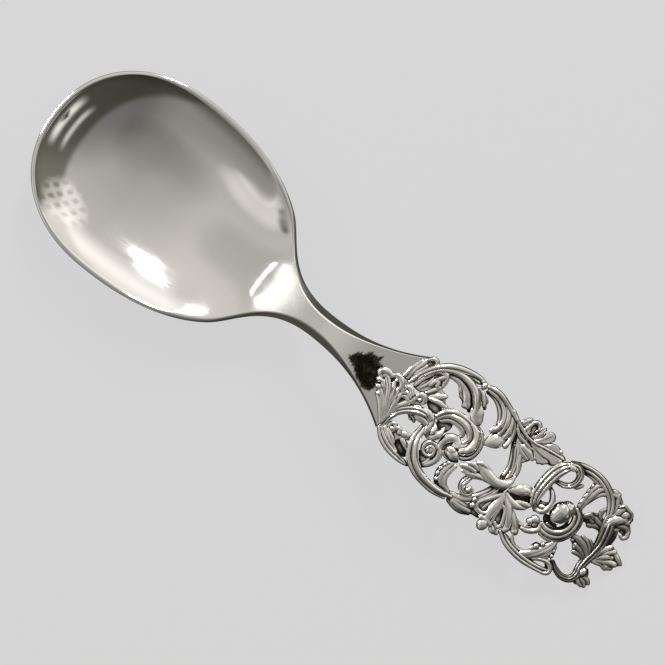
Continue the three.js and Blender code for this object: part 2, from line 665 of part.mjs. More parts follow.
  // The small volute that hangs under the tongue.
  small_volute: [
    scroll(
      [[44.9, -6.6], [44.2, -7.8], [44.8, -9.3], [46.1, -9.9], [47.3, -9.3], [47.4, -8.3]],
      [0.75, 0.8, 0.65],
      [LEVEL, LEVEL],
    ),
    bead(46.6, -8.4, LEVEL, 0.9),
  ],

  // The two leaves between the tongue and the ring.
  twin_leaves: [
    finger([[54.8, -2.2], [56.2, -1.2], [57.6, -0.3], [58.6, 0.1]], [0.8, 1.3, 0.9], [LEVEL, LEVEL], 0.5),
    finger([[54.8, -3.4], [56.8, -4.2], [58.8, -3.9], [60.2, -3.2]], [0.7, 1.0, 0.8], [LEVEL, LEVEL]),
    finger([[54.8, -2.3], [54.9, -2.9], [55.1, -3.5]], [0.6, 0.7, 0.6], [LEVEL, LEVEL]),
    bead(57.2, 0.7, LEVEL, 0.75, 6),
  ],

  // The lobed leaf that hangs inside the top arch.
  hanging_leaf: [
    finger([[70.9, 12.4], [70.3, 10.2], [70.3, 7.8], [70.6, 5.8]], [0.8, 1.0, 1.0, 0.8], [LEVEL, LEVEL]),
    finger([[72.2, 12.2], [71.6, 9.8], [71.6, 6.8]], [0.9, 0.9, 0.7], [LEVEL, LEVEL]),
    finger([[73.6, 11.9], [72.8, 10.0], [72.2, 7.8]], [0.9, 0.9, 0.6], [LEVEL, LEVEL]),
  ],

  // The scroll along the lower edge of the handle's end, which closes in a small loop.
  right_rim: [
    scroll(
      [
        [59.2, -11.6], [62.0, -12.8], [65.4, -13.4], [68.6, -13.5], [71.6, -13.1], [73.7, -12.2],
        [73.8, -10.9], [72.4, -10.4],
      ],
      [0.7, 0.85, 0.9, 0.8, 0.7],
      [UNDER, LEVEL, LEVEL, LEVEL],
    ),
  ],

  // The leaf that grows from that scroll towards the ball.
  rim_leaf: [
    finger(
      [[63.8, -12.2], [66.4, -11.7], [68.7, -9.9], [70.2, -7.6], [70.8, -6.3]],
      [0.6, 1.0, 1.4, 0.9],
      [LEVEL, LEVEL],
    ),
    finger([[67.2, -11.0], [67.6, -9.6], [68.0, -8.8]], [0.7, 0.8, 0.7], [LEVEL, LEVEL]),
    finger([[68.8, -9.4], [68.8, -8.2], [69.1, -7.2]], [0.7, 0.8, 0.6], [LEVEL, LEVEL]),
    finger([[70.4, -8.9], [71.4, -7.8], [72.0, -6.6]], [0.8, 0.9, 0.7], [LEVEL, LEVEL]),
    finger([[70.2, -9.4], [71.4, -9.0], [72.4, -8.7]], [0.8, 0.8, 0.6], [LEVEL, LEVEL]),
  ],

  // The upright leaf with a beaded edge, on the lower edge.
  beaded_leaf: [
    finger(
      [[42.8, -11.6], [41.1, -11.0], [39.9, -9.6], [39.6, -7.8], [40.4, -6.4]],
      [0.7, 1.0, 1.1, 1.1, 0.8],
      [LEVEL, LEVEL],
    ),
    finger([[40.0, -10.6], [39.0, -10.4], [38.5, -9.9]], [0.7, 0.7, 0.6], [LEVEL, LEVEL]),
    finger([[39.6, -9.0], [38.8, -8.7], [38.4, -8.1]], [0.7, 0.7, 0.6], [LEVEL, LEVEL]),
    finger([[39.8, -7.4], [39.1, -6.9], [38.7, -6.4]], [0.7, 0.7, 0.6], [LEVEL, LEVEL]),
  ],

  // The fluted leaf on the lower edge next to the shoulder.
  foot_leaf: [
    scroll(
      [[21.0, -10.6], [22.8, -12.0], [25.4, -13.0], [28.2, -13.3], [30.6, -13.1]],
      [0.7, 1.0, 1.1, 0.9, 0.6],
      [LEVEL, LEVEL, UNDER],
      0.6,
    ),
    finger([[22.4, -11.0], [24.0, -10.0], [24.6, -8.3]], [0.8, 1.1, 0.8], [LEVEL, LEVEL]),
    finger([[22.5, -10.4], [22.8, -9.0], [23.0, -7.9]], [0.8, 0.9, 0.7], [LEVEL, LEVEL]),
    finger([[24.2, -9.6], [26.0, -8.7], [27.8, -8.1]], [0.9, 1.1, 0.8], [LEVEL, UNDER]),
    finger([[24.2, -10.2], [25.2, -11.2], [26.0, -12.0]], [0.8, 0.8, 0.8], [LEVEL, LEVEL]),
  ],

  // The small leaves at the bottom, between the lower edge and the palmette.
  bottom_leaf: [
    finger([[45.6, -13.0], [47.4, -13.0], [49.4, -12.6], [51.6, -12.0]], [0.8, 1.2, 1.0, 0.6], [UNDER]),
    finger([[45.6, -13.4], [47.4, -13.6], [49.4, -13.2]], [0.6, 0.8, 0.6], [UNDER, UNDER]),
    bead(49.7, -10.9, LEVEL, 1.0),
    finger([[49.7, -11.2], [49.6, -12.0], [49.5, -12.6]], [0.7, 0.7, 0.6], [LEVEL, UNDER]),
  ],

  // The stem that closes the end of the handle.
  end_stem: [
    scroll(
      [
        [74.9, -9.9], [77.0, -10.4], [79.0, -9.6], [79.6, -7.4], [79.6, -5.0], [79.9, -2.0],
        [79.9, 0.8], [79.2, 3.2], [78.4, 5.6], [77.8, 7.2],
      ],
      [0.7, 0.85, 1.0, 1.2, 1.3, 1.2, 1.0],
      [LEVEL, LEVEL, LEVEL],
      0.65,
    ),
  ],

  // The leaf at the very end.
  tip_leaf: [
    finger([[81.4, -1.4], [81.9, 0.4], [82.6, 1.9]], [0.7, 0.9, 0.8], [LEVEL, LEVEL]),
    finger([[81.4, -1.8], [83.0, 0.2], [84.4, 1.2]], [0.7, 1.0, 0.9], [LEVEL, LEVEL]),
    finger([[81.4, -2.2], [84.0, -0.4], [87.0, 0.5]], [0.7, 1.1, 0.7], [LEVEL, LEVEL]),
    finger([[81.4, -2.4], [83.4, -1.7], [85.0, -2.0]], [0.7, 1.0, 0.9], [LEVEL, LEVEL]),
    finger([[81.4, -2.5], [82.2, -2.7], [82.9, -2.9]], [0.7, 0.7, 0.6], [LEVEL, LEVEL]),
  ],

  // The lobed leaf that turns inwards from the end's stem.
  inner_leaf: [
    finger([[78.2, -2.6], [77.0, -1.8], [75.5, -1.5], [74.2, -1.6]], [0.8, 1.3, 1.1, 0.9], [LEVEL, LEVEL]),
    finger([[77.9, -2.8], [76.8, -3.3], [76.0, -3.8]], [0.8, 0.9, 0.8], [LEVEL, LEVEL]),
    finger([[78.1, -1.8], [77.3, -0.9], [76.4, -0.4]], [0.7, 0.8, 0.7], [LEVEL, LEVEL]),
  ],

  // The broad leaf above it, under the arch.
  upper_inner_leaf: [
    finger([[77.2, 4.8], [76.2, 5.0], [75.0, 5.0], [73.9, 5.0]], [0.9, 1.3, 1.0, 0.6], [LEVEL, LEVEL]),
    finger([[76.4, 4.4], [75.4, 3.7], [74.8, 3.2]], [0.8, 0.9, 0.8], [LEVEL, LEVEL]),
    finger([[76.2, 5.4], [75.6, 6.6], [75.4, 7.6]], [0.8, 0.8, 0.6], [LEVEL, LEVEL]),
  ],

  // The leaf at the upper corner of the end.
  upper_end_leaf: [
    finger([[79.6, 6.2], [79.9, 8.2], [80.5, 10.0], [81.2, 11.0]], [0.8, 1.2, 1.2, 0.8], [LEVEL, LEVEL]),
    finger([[79.6, 7.8], [79.4, 9.8], [79.6, 11.4]], [0.8, 1.0, 0.9], [LEVEL, LEVEL]),
    finger([[80.0, 8.0], [81.4, 8.7], [82.2, 9.2]], [0.8, 0.9, 0.8], [LEVEL, LEVEL]),
    finger([[80.2, 7.2], [81.8, 7.5], [83.4, 7.2]], [0.8, 0.8, 0.8], [LEVEL, LEVEL]),
    finger([[79.8, 6.4], [81.2, 5.7], [82.5, 5.6]], [0.8, 0.8, 0.7], [LEVEL, LEVEL]),
  ],

  // The buds and the leaf at the lower corner of the end.
  low_end_leaf: [
    bead(81.7, -6.8, LEVEL, [1.2, 1.3, 1.0]),
    finger([[81.4, -7.4], [82.4, -8.0], [83.3, -8.0]], [0.9, 0.9, 0.8], [LEVEL, LEVEL]),
    finger([[81.4, -7.8], [81.7, -8.8], [82.5, -9.4]], [0.9, 0.9, 0.7], [LEVEL, LEVEL]),
  ],
};

// Joins a piece's bars and beads into one solid, grown outwards by a clearance.
function joined(makers, grow) {
  return makers.map((make) => solidOf(make(grow))).reduce((all, next) => all.add(next));
}

function touch(a, b) {
  return [0, 1, 2].every((i) => a.min[i] < b.max[i] && b.min[i] < a.max[i]);
}

// The largest of the bodies that a cut leaves.
function largest(solid) {
  return solid.decompose().reduce((a, b) => (a.volume() > b.volume() ? a : b));
}

// The castings that are burnished like the bowl; the others keep their cast skin.
const burnishedPieces = new Set(["ball_boss"]);

const spoon = new THREE.Group();
const cutters = [solidOf(blankGeometry(SOLDER_GAP))];
spoon.add(meshOf("bowl_and_stem", solidOf(blankGeometry(0)), silver));
for (const [name, makers] of Object.entries(handlePieces)) {
  const whole = joined(makers, 0);
  const box = whole.boundingBox();
  const cut = cutters
    .filter((cutter) => touch(cutter.boundingBox(), box))
    .reduce((solid, cutter) => solid.subtract(cutter), whole);
  spoon.add(meshOf(name, largest(cut), burnishedPieces.has(name) ? silver : castSilver));
  cutters.push(joined(makers, SOLDER_GAP));
}
spoon.position.x = -OVERALL / 2;

export default spoon;
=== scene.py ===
# %% [markdown]
# # A silver serving spoon with an openwork handle
# The real spoon has two makers' worth of work in it. A smith forges the bowl and the stem
# from one bar of silver and polishes them like a mirror. A chaser casts the scrolls and
# leaves of the handle, solders them to the stem and to each other, and leaves the hollows
# dark so that the polished tops stand out. This script follows that order: the blank first,
# then the castings, then the finish, and last the light that a mirror needs around it.

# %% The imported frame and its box
import math

import bpy
import numpy as np
from mathutils import Matrix


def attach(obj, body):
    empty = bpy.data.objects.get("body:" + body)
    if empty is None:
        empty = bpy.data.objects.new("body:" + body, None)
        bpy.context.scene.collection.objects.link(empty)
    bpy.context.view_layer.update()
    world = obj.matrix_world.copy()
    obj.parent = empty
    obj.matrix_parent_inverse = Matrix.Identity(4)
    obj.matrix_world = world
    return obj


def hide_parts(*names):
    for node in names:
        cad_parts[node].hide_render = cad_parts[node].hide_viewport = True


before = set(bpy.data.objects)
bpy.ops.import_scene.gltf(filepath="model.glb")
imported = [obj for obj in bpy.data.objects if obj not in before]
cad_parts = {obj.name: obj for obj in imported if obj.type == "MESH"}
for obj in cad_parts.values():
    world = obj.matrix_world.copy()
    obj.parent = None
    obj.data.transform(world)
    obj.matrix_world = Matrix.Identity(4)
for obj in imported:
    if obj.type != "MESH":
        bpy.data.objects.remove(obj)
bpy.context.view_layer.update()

# %% [markdown]
# ## Node trees written as sums
# Both the press that dishes the bowl and the finish of the silver are small formulas. A
# node tree can hold a formula, but twenty Math nodes wired by hand are hard to read. So one
# class wraps a socket and lets Python's own signs add the nodes: `a * b + 1` is two nodes.

# %% A socket that can be calculated with
class Wire:
    """A socket of a node tree; signs between wires add Math nodes to that tree."""

    def __init__(self, tree, socket=None):
        self.tree = tree
        self.socket = socket

    def node(self, kind, settings=(), inputs=(), out=0):
        """Adds a node: its settings first, then the values or wires of its sockets."""
        made = self.tree.nodes.new(kind)
        for name, value in dict(settings).items():
            setattr(made, name, value)
        for key, value in dict(inputs).items():
            for item in value if isinstance(value, list) else [value]:
                if isinstance(item, Wire):
                    self.tree.links.new(item.socket, made.inputs[key])
                else:
                    made.inputs[key].default_value = item
        return Wire(self.tree, made.outputs[out] if made.outputs else None)

    def math(self, operation, *values):
        return self.node("ShaderNodeMath", {"operation": operation}, dict(enumerate(values)))

    def __add__(self, other):
        return self.math("ADD", self, other)

    __radd__ = __add__

    def __sub__(self, other):
        return self.math("SUBTRACT", self, other)

    def __rsub__(self, other):
        return self.math("SUBTRACT", other, self)

    def __mul__(self, other):
        return self.math("MULTIPLY", self, other)

    __rmul__ = __mul__

    def __truediv__(self, other):
        return self.math("DIVIDE", self, other)

    def __pow__(self, other):
        return self.math("POWER", self, other)

    def __abs__(self):
        return self.math("ABSOLUTE", self)

    def above(self, other):
        """1 where this is greater than the other, else 0."""
        return self.math("GREATER_THAN", self, other)

    def ramp(self, low, high):
        """0 below low, 1 above high, and a soft S between them."""
        values = {"Value": self, "From Min": low, "From Max": high}
        return self.node("ShaderNodeMapRange", {"interpolation_type": "SMOOTHSTEP"}, values)

    def split(self):
        """The three parts of a vector."""
        made = self.node("ShaderNodeSeparateXYZ", {}, {"Vector": self})
        return [Wire(self.tree, socket) for socket in made.socket.node.outputs]


def empty_wire(owner):
    """A wire on the emptied node tree of a material or a world."""
    owner.use_nodes = True
    owner.node_tree.nodes.clear()
    return Wire(owner.node_tree)


print("Wires add nodes to a tree as they are calculated with.")

# %% [markdown]
# ## From a guide to a piece
# Every piece starts as a guide: a light mesh whose points carry named values. A Geometry
# Nodes tree turns the guide into metal, the result becomes a plain mesh, and the guide goes.
# The finished piece then takes the place of the CAD node that has its name.

# %% Guides, trees and finished pieces
def geometry_tree(name, sizes):
    """An empty Geometry Nodes tree with named inputs, and the wires of those inputs."""
    tree = bpy.data.node_groups.new(name, "GeometryNodeTree")
    tree.interface.new_socket("Geometry", in_out="OUTPUT", socket_type="NodeSocketGeometry")
    for label, kind in {"Geometry": "Geometry", **sizes}.items():
        tree.interface.new_socket(label, in_out="INPUT", socket_type="NodeSocket" + kind)
    start = tree.nodes.new("NodeGroupInput")
    return tree, {socket.name: Wire(tree, socket) for socket in start.outputs if socket.name}


def stored(wire, name, kind="FLOAT"):
    """A value that is stored on the points of a guide."""
    return wire.node("GeometryNodeInputNamedAttribute", {"data_type": kind}, {"Name": name})


def end_tree(wire, geometry, metal):
    """Ends a tree: everything made real, with one material."""
    whole = wire.node("GeometryNodeRealizeInstances", {}, {"Geometry": geometry})
    finish = {"Geometry": whole, "Material": metal}
    coated = wire.node("GeometryNodeSetMaterial", {}, finish)
    wire.node("NodeGroupOutput", {}, {"Geometry": coated})


def run_tree(obj, tree, values):
    """Puts a tree on an object and sets its named inputs through their identifiers."""
    modifier = obj.modifiers.new(tree.name, "NODES")
    modifier.node_group = tree
    for item in tree.interface.items_tree:
        if item.in_out == "INPUT" and item.name in values:
            modifier[item.identifier] = values[item.name]


def plain_mesh(obj):
    """The evaluated object as a mesh of its own; the object with its modifiers goes."""
    bpy.context.view_layer.update()
    ready = obj.evaluated_get(bpy.context.evaluated_depsgraph_get())
    mesh = bpy.data.meshes.new_from_object(ready)
    old = obj.data
    bpy.data.objects.remove(obj)
    bpy.data.meshes.remove(old)
    return mesh


def guide_object(name, points, edges=(), faces=(), values=()):
    """A mesh object with one named value for each of its points."""
    mesh = bpy.data.meshes.new(name)
    mesh.from_pydata([tuple(p) for p in points], list(edges), list(faces))
    for label, column in dict(values).items():
        column = np.asarray(column, dtype=np.float32)
        kind = "FLOAT_VECTOR" if column.ndim == 2 else "FLOAT"
        layer = mesh.attributes.new(label, kind, "POINT")
        layer.data.foreach_set("vector" if column.ndim == 2 else "value", column.ravel())
    obj = bpy.data.objects.new(name, mesh)
    bpy.context.scene.collection.objects.link(obj)
    return obj


def put_in_place(name, mesh):
    """A finished piece, which stands for the CAD node of the same name."""
    obj = bpy.data.objects.new("silver_" + name, mesh)
    bpy.context.scene.collection.objects.link(obj)
    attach(obj, "root")
    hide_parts(name)
    return obj


print("Guides, trees and pieces have their tools.")

# %% [markdown]
# ## The line of the top
# Seen from the side, a serving spoon is one long line: level along the rim, up to a crest on
# the stem, and down to the table at the handle's end. Bowl, stem and castings all hang from
# that line, so it is worked out once, as a smooth curve through six stations.

# %% Heights along the spoon, in millimetres
MM = 0.001
OVERALL = 175.0
BOWL_FRONT = 28.8
BOWL_TAIL = 40.0
BOWL_DEPTH = 9.8
SHEET = 1.3
FOOT_FLAT = 0.34
RIM_HEIGHT = BOWL_DEPTH + SHEET - FOOT_FLAT
HEEL_RISE = 1.3
CREST, CREST_RISE = 96.0, 4.6
MIDWAY, MIDWAY_SHARE = 135.5, 0.7
END_HEIGHT = 0.55
STATIONS = np.array([
    (0, RIM_HEIGHT),
    (BOWL_FRONT, RIM_HEIGHT),
    (BOWL_FRONT + BOWL_TAIL, RIM_HEIGHT + HEEL_RISE),
    (CREST, RIM_HEIGHT + CREST_RISE),
    (MIDWAY, END_HEIGHT + MIDWAY_SHARE * (RIM_HEIGHT + (CREST_RISE - END_HEIGHT))),
    (OVERALL, END_HEIGHT),
])


def curve_through(keys, t):
    """An even smooth curve through rows of values, at places t from 0 to 1."""
    keys = np.asarray(keys, dtype=float)
    if len(keys) == 1:
        return np.repeat(keys, len(t), axis=0)
    last = len(keys) - 1
    i = np.minimum((np.asarray(t) * last).astype(int), last - 1)
    w = np.asarray(t) * last - i
    if keys.ndim == 2:
        w = w[:, None]
    before, start, end, after = (keys[np.clip(i + k, 0, last)] for k in (-1, 0, 1, 2))
    v0, v1 = (end - before) / 2, (after - start) / 2
    cubic = (2 * start - 2 * end + v0 + v1) * w**3
    return cubic + (-3 * start + 3 * end - 2 * v0 - v1) * w**2 + v0 * w + start


top_line = curve_through(STATIONS, np.linspace(0, 1, 4001))


def top_height(station):
    """Height of the top line at stations counted from the bowl's tip."""
    return np.interp(station, top_line[:, 0], top_line[:, 1])


print("Crest of the stem:", round(float(top_line[:, 1].max()), 2), "mm above the table")

# %% [markdown]
# ## Two finishes of one metal
# The bowl and the stem are burnished: almost a mirror, with hairline scratches from use. The
# castings are polished only where a buff reaches them. Their hollows keep an oxide that is
# nearly black, which is what makes the relief readable. Both finishes are one formula. A
# value called `recess`, stored on every point of a mesh, says how dark that
# point is: the oxide in its hollows, and painted shade and painted dark reflections. It drives
# colour and roughness; fine noise does the scratches and the cast skin.

# %% The silver
BRIGHT = (0.96, 0.93, 0.875, 1.0)
WORN = (0.80, 0.77, 0.71, 1.0)
MIRROR = (0.80, 0.782, 0.745, 1.0)
# The darkest colour: the oxide in the hollows, and also painted shade and painted dark reflections.
OXIDE_AND_SHADE = (0.046, 0.040, 0.027, 1.0)
CLOUDS, HAIRLINES, CAST_SKIN, SWELLS = 260.0, 900.0, 2600.0, 60.0
HELD_FROM, HELD_TO = (-0.024, -0.016), (-0.014, -0.006)
SKIN_DEPTH = 0.00004


def noise(wire, place, scale, detail=3.0, stretch=(1, 1, 1)):
    """Fine noise on object coordinates, which may be drawn out along an axis."""
    placed = wire.node("ShaderNodeMapping", {}, {"Vector": place, "Scale": stretch})
    grain = {"Vector": placed, "Scale": scale, "Detail": detail}
    return wire.node("ShaderNodeTexNoise", {}, grain)


def mixed(wire, factor, a, b):
    """A colour between two others."""
    return wire.node("ShaderNodeMix", {"data_type": "RGBA"}, {0: factor, 6: a, 7: b}, out=2)


def silver(name, bright, roughness, mottle, grain, scratch, waver=0.0, haze=0.0):
    """A silver finish: bright where it is rubbed, dark and dull with the oxide in its hollows and
    with painted shade.

    Mottle is cloudy wear, grain the cast skin and scratch the hairlines. Waver is how far a
    hammered sheet swells, in metres, and haze how dull the neck is where it is held.
    """
    material = bpy.data.materials.new(name)
    wire = empty_wire(material)
    place = wire.node("ShaderNodeTexCoord", out="Object")
    recess = wire.node("ShaderNodeAttribute", {"attribute_name": "recess"}, out="Fac")
    cloud = noise(wire, place, CLOUDS)
    hairline = noise(wire, place, HAIRLINES, 2.0, (0.2, 1.0, 1.0))
    skin = noise(wire, place, CAST_SKIN, 2.0)
    # Darker where the stored value says: real oxide, painted shade on steep sides and towards the
    # handle's end, and painted dark reflections on the bowl.
    dark = (recess + (cloud - 0.5) * 0.25).ramp(0.14, 0.66)
    rubbed = mixed(wire, cloud.ramp(0.35, 0.85) * mottle, bright, WORN)
    color = mixed(wire, dark, rubbed, OXIDE_AND_SHADE)
    along_spoon = place.split()[0]
    held = along_spoon.ramp(*HELD_FROM) * (1.0 - along_spoon.ramp(*HELD_TO))
    dull = roughness + dark * 0.30 + (cloud - 0.5) * mottle * 0.1 + (hairline - 0.5) * scratch
    dull = dull + held * haze
    swell = noise(wire, place, SWELLS, 1.0)
    bowing = {"Strength": 1.0, "Distance": waver, "Height": swell}
    bowed = wire.node("ShaderNodeBump", {}, bowing)
    height = skin * grain + hairline * scratch
    wear = {"Strength": 0.35, "Distance": SKIN_DEPTH, "Height": height, "Normal": bowed}
    bump = wire.node("ShaderNodeBump", {}, wear)
    finish = {"Base Color": color, "Metallic": 1.0, "Roughness": dull, "Normal": bump}
    shader = wire.node("ShaderNodeBsdfPrincipled", {}, finish)
    wire.node("ShaderNodeOutputMaterial", {}, {"Surface": shader})
    return material


burnished = silver(
    "burnished_silver", MIRROR, roughness=0.07, mottle=0.12, grain=0.10, scratch=0.08,
    waver=0.00004, haze=0.17,
)
chased = silver("chased_silver", BRIGHT, roughness=0.17, mottle=0.8, grain=0.5, scratch=0.06)
print("Finishes:", burnished.name, "and", chased.name)

# %% [markdown]
# ## The blank: bowl and stem
# A smith starts from a flat outline and dishes it over a stake. The script does the same. It
# lays a flat net of points over the outline, top and underside joined along a rounded rim,
# and a small Geometry Nodes press drops each point by a rule: nothing on the oval of the rim,
# the full depth in the middle, and a soft run-out where the heel rises into the stem. A rule
# gives the unbroken curvature that a mirror finish shows up at once; hand-moved points do not.

# %% The outline of the blank
BOWL_HALF = 25.25
ROUNDNESS = 2.18
NECK_START = 60.0
STEM_START = 82.0
STEM_LENGTH = 25.5
SHOULDER = STEM_START + STEM_LENGTH
STEM_HALF = 3.6
SHOULDER_HALF = 10.8
FLARE = 2.3
RIM_LAND, STEM_LAND, SHOULDER_LAND = 0.8, 1.9, 0.6
LAND_RUN = 18.0
FRONT_ANGLE = 0.9
NECK_REACH = (5.5, 14.0)
ACROSS = np.linspace(-1, 1, 73)
BOWL_ROWS, NECK_ROWS, STEM_ROWS = 84, 48, 44


def soft_step(t):
    t = np.clip(t, 0, 1)
    return t * t * (3 - 2 * t)


def stem_half(station):
    t = np.clip((station - STEM_START) / STEM_LENGTH, 0, 1)
    return STEM_HALF + (SHOULDER_HALF - STEM_HALF) * t**FLARE


def oval(angle, inset):
    """Points of the rim's oval at angles from the tip, drawn in by an inset."""
    power = 2 / ROUNDNESS
    c = np.cos(angle)
    reach = np.where(c > 0, BOWL_FRONT, BOWL_TAIL) - inset
    x = BOWL_FRONT - np.sign(c) * np.abs(c) ** power * reach
    return np.stack([x, np.sin(angle) ** power * (BOWL_HALF - inset)], -1)


NECK_ANGLE = math.pi - math.acos(((NECK_START - BOWL_FRONT) / BOWL_TAIL) ** (ROUNDNESS / 2))


def neck(share):
    """The curve that leaves along the oval and arrives along the stem."""
    before, start = oval(np.array([NECK_ANGLE - 0.01, NECK_ANGLE]), RIM_LAND * share)
    slope = (start[1] - before[1]) / (start[0] - before[0])
    end = np.array([STEM_START, STEM_HALF - STEM_LAND * share])
    leaving = start + NECK_REACH[0] * np.array([1, slope])
    pulls = np.array([start, leaving, end - [NECK_REACH[1], 0], end])
    t = np.linspace(0, 1, NECK_ROWS, endpoint=False)[:, None]
    weights = [(1 - t) ** 3, 3 * t * (1 - t) ** 2, 3 * t**2 * (1 - t), t**3]
    return sum(w * p for w, p in zip(weights, pulls))


def outline_net(share):
    """Rows of points from the front of the rim to the shoulder, drawn in by a share of the rim."""
    angles = np.linspace(FRONT_ANGLE, NECK_ANGLE, BOWL_ROWS, endpoint=False)
    stem = np.linspace(STEM_START, SHOULDER, STEM_ROWS)
    narrowing = soft_step((stem - STEM_START) / LAND_RUN)
    land = STEM_LAND + (SHOULDER_LAND - STEM_LAND) * narrowing
    stem_side = np.stack([stem, stem_half(stem) - land * share], -1)
    side = np.concatenate([oval(angles, RIM_LAND * share), neck(share), stem_side])
    front = oval(np.abs(ACROSS) * FRONT_ANGLE, RIM_LAND * share)
    front[:, 1] *= np.sign(ACROSS)
    fade = ((1 - np.linspace(0, 1, len(side))) ** 3)[:, None]
    x = side[:, :1] + fade * (front[:, 0] - side[0, 0])
    y = side[:, 1:] * ACROSS + fade * (front[:, 1] - ACROSS * side[0, 1])
    return np.stack([x, y], -1)


flat_net = outline_net(0.0)
rows, columns = flat_net.shape[:2]
print("Outline net:", rows, "rows of", columns, "points")

# %% [markdown]
# ### Top, rim and underside
# The rim of the bowl is a quarter round. Along the stem it turns into a bevel: first a narrow
# chamfer that catches the light as a thin bright line, then a steep flank. The underside
# bellies out below the stem.

# %% The points of the flat sheet
RIM_DROP = 0.35
STEM_EDGE = 2.1
BEVEL_FROM, BEVEL_TO = 56.0, 79.0
STEM_THICKNESS = 3.2
SHOULDER_THICKNESS = 2.2
RIM_STEPS = (0.05, 0.2, 0.4, 0.6, 0.8, 0.95)
CHAMFER = 0.2
CHAMFER_SLOPE = math.tan(math.radians(40))


def on_stem(station):
    """0 on the bowl, 1 on the stem."""
    return soft_step((station - BEVEL_FROM) / (BEVEL_TO - BEVEL_FROM))


def edge_drop(station):
    return RIM_DROP + (STEM_EDGE - RIM_DROP) * on_stem(station)


def under_press(station):
    """How far the underside is pressed in the middle of the bowl."""
    stem = on_stem(station)
    return (BOWL_DEPTH + SHEET - edge_drop(station)) * (1 - stem) + BOWL_DEPTH * stem


def sheet_point(net, height, press, land):
    """Rows for the sheet: place, pressing depth and the inset that its oval is drawn in by."""
    lands = np.broadcast_to(land, len(net))
    return np.stack([net[:, 0], net[:, 1], height, press, lands], -1)


def boundary(rows, columns):
    """Indices round the edge of a net, in order."""
    first = [(0, c) for c in range(columns)]
    right = [(r, columns - 1) for r in range(1, rows)]
    back = [(rows - 1, c) for c in range(columns - 2, -1, -1)]
    left = [(r, 0) for r in range(rows - 2, 0, -1)]
    return np.array([r * columns + c for r, c in first + right + back + left])


def bevel_drop(t, reach, drop):
    """How far the stem's edge has dropped at a share t of its width: chamfer, then flank."""
    first = CHAMFER_SLOPE * reach * CHAMFER / drop
    if t <= CHAMFER:
        return first * t / CHAMFER
    return first + (1 - first) * (t - CHAMFER) / (1 - CHAMFER)


loop = boundary(rows, columns)
top = outline_net(1.0).reshape(-1, 2)
under = flat_net.reshape(-1, 2)
layers = [sheet_point(top, top_height(top[:, 0]), np.full(len(top), BOWL_DEPTH), RIM_LAND)]
inner, outer = top[loop], under[loop]
reach = np.linalg.norm(outer - inner, axis=1)
bevelled = on_stem(outer[:, 0])
for t in RIM_STEPS:
    turn = math.pi / 2 * t
    share = (1 - math.sin(turn)) * (1 - bevelled) + (1 - t) * bevelled
    place = outer + (inner - outer) * share[:, None]
    station = place[:, 0]
    flank = bevel_drop(t, reach, edge_drop(outer[:, 0]))
    lowered = (1 - math.cos(turn)) * (1 - bevelled) + flank * bevelled
    press = BOWL_DEPTH + (under_press(station) - BOWL_DEPTH) * t
    height = top_height(station) - edge_drop(station) * lowered
    layers.append(sheet_point(place, height, press, RIM_LAND * share))
station = under[:, 0]
thinning = soft_step((station - STEM_START) / STEM_LENGTH)
thickness = STEM_THICKNESS + (SHOULDER_THICKNESS - STEM_THICKNESS) * thinning
side = np.abs(np.tile(ACROSS, rows))
belly = (thickness - edge_drop(station)) * on_stem(station) * (1 - side**3)
height = top_height(station) - edge_drop(station) - belly
layers.append(sheet_point(under, height, under_press(station), 0.0))
sheet = np.concatenate(layers)
print("Flat sheet:", len(sheet), "points in", len(layers), "layers")

# %% Its faces
faces = []
base = len(top) + len(RIM_STEPS) * len(loop)
for r in range(rows - 1):
    for c in range(columns - 1):
        a = r * columns + c
        faces.append((a, a + columns, a + columns + 1, a + 1))
        faces.append((base + a, base + a + 1, base + a + columns + 1, base + a + columns))
strips = [loop]
for k in range(len(RIM_STEPS)):
    strips.append(len(top) + k * len(loop) + np.arange(len(loop)))
strips.append(base + loop)
for upper, lower in zip(strips, strips[1:]):
    for i in range(len(loop)):
        j = (i + 1) % len(loop)
        faces.append((upper[i], upper[j], lower[j], lower[i]))
print("Flat sheet:", len(faces), "faces")

# %% [markdown]
# ### The press
# The rule measures how far a point lies from the middle of the oval, as a share of the way to
# the rim. Near the middle the oval is a plain ellipse, so that the bottom is evenly round, and
# towards the rim it takes on the fuller outline. At the heel the share is softened, which
# lets the bowl run out into the stem without a step.

# %% The press tree
MIDDLE_RUN = 8.0
press_tree, given = geometry_tree(
    "bowl press",
    {
        "Half Width": "Float", "Front": "Float", "Tail": "Float", "Roundness": "Float",
        "Fullness": "Float", "Heel From": "Float", "Heel To": "Float", "Heel Softness": "Float",
        "Fade From": "Float", "Fade To": "Float", "Silver": "Material",
    },
)
wire = Wire(press_tree)
station, across, height = wire.node("GeometryNodeInputPosition").split()
land = stored(wire, "land")
along = station - given["Front"]
longer = (given["Tail"] - given["Front"]) * along.ramp(-MIDDLE_RUN, MIDDLE_RUN)
a = abs(along / (given["Front"] + longer - land))
b = abs(across / (given["Half Width"] - land))
ellipse = (a * a + b * b) ** 0.5
n = (given["Roundness"] - 2.0) * wire.math("MINIMUM", ellipse, 1.0) + 2.0
ring = (a**n + b**n) ** wire.math("DIVIDE", 1.0, n)
inside = 1.0 - ring ** given["Fullness"]
fading = 1.0 - station.ramp(given["Fade From"], given["Fade To"])
soft = given["Heel Softness"] * station.ramp(given["Heel From"], given["Heel To"]) * fading
share = (inside + (inside * inside + soft * soft) ** 0.5) * 0.5
pressed = wire.math("MAXIMUM", height - stored(wire, "press") * share, 0.0)
target = wire.node("ShaderNodeCombineXYZ", {}, {"X": station, "Y": across, "Z": pressed})
moved = {"Geometry": given["Geometry"], "Position": target}
dished = wire.node("GeometryNodeSetPosition", {}, moved)
smooth = wire.node("GeometryNodeSetShadeSmooth", {}, {"Geometry": dished})
end_tree(wire, smooth, given["Silver"])
print("Press:", len(press_tree.nodes), "nodes")
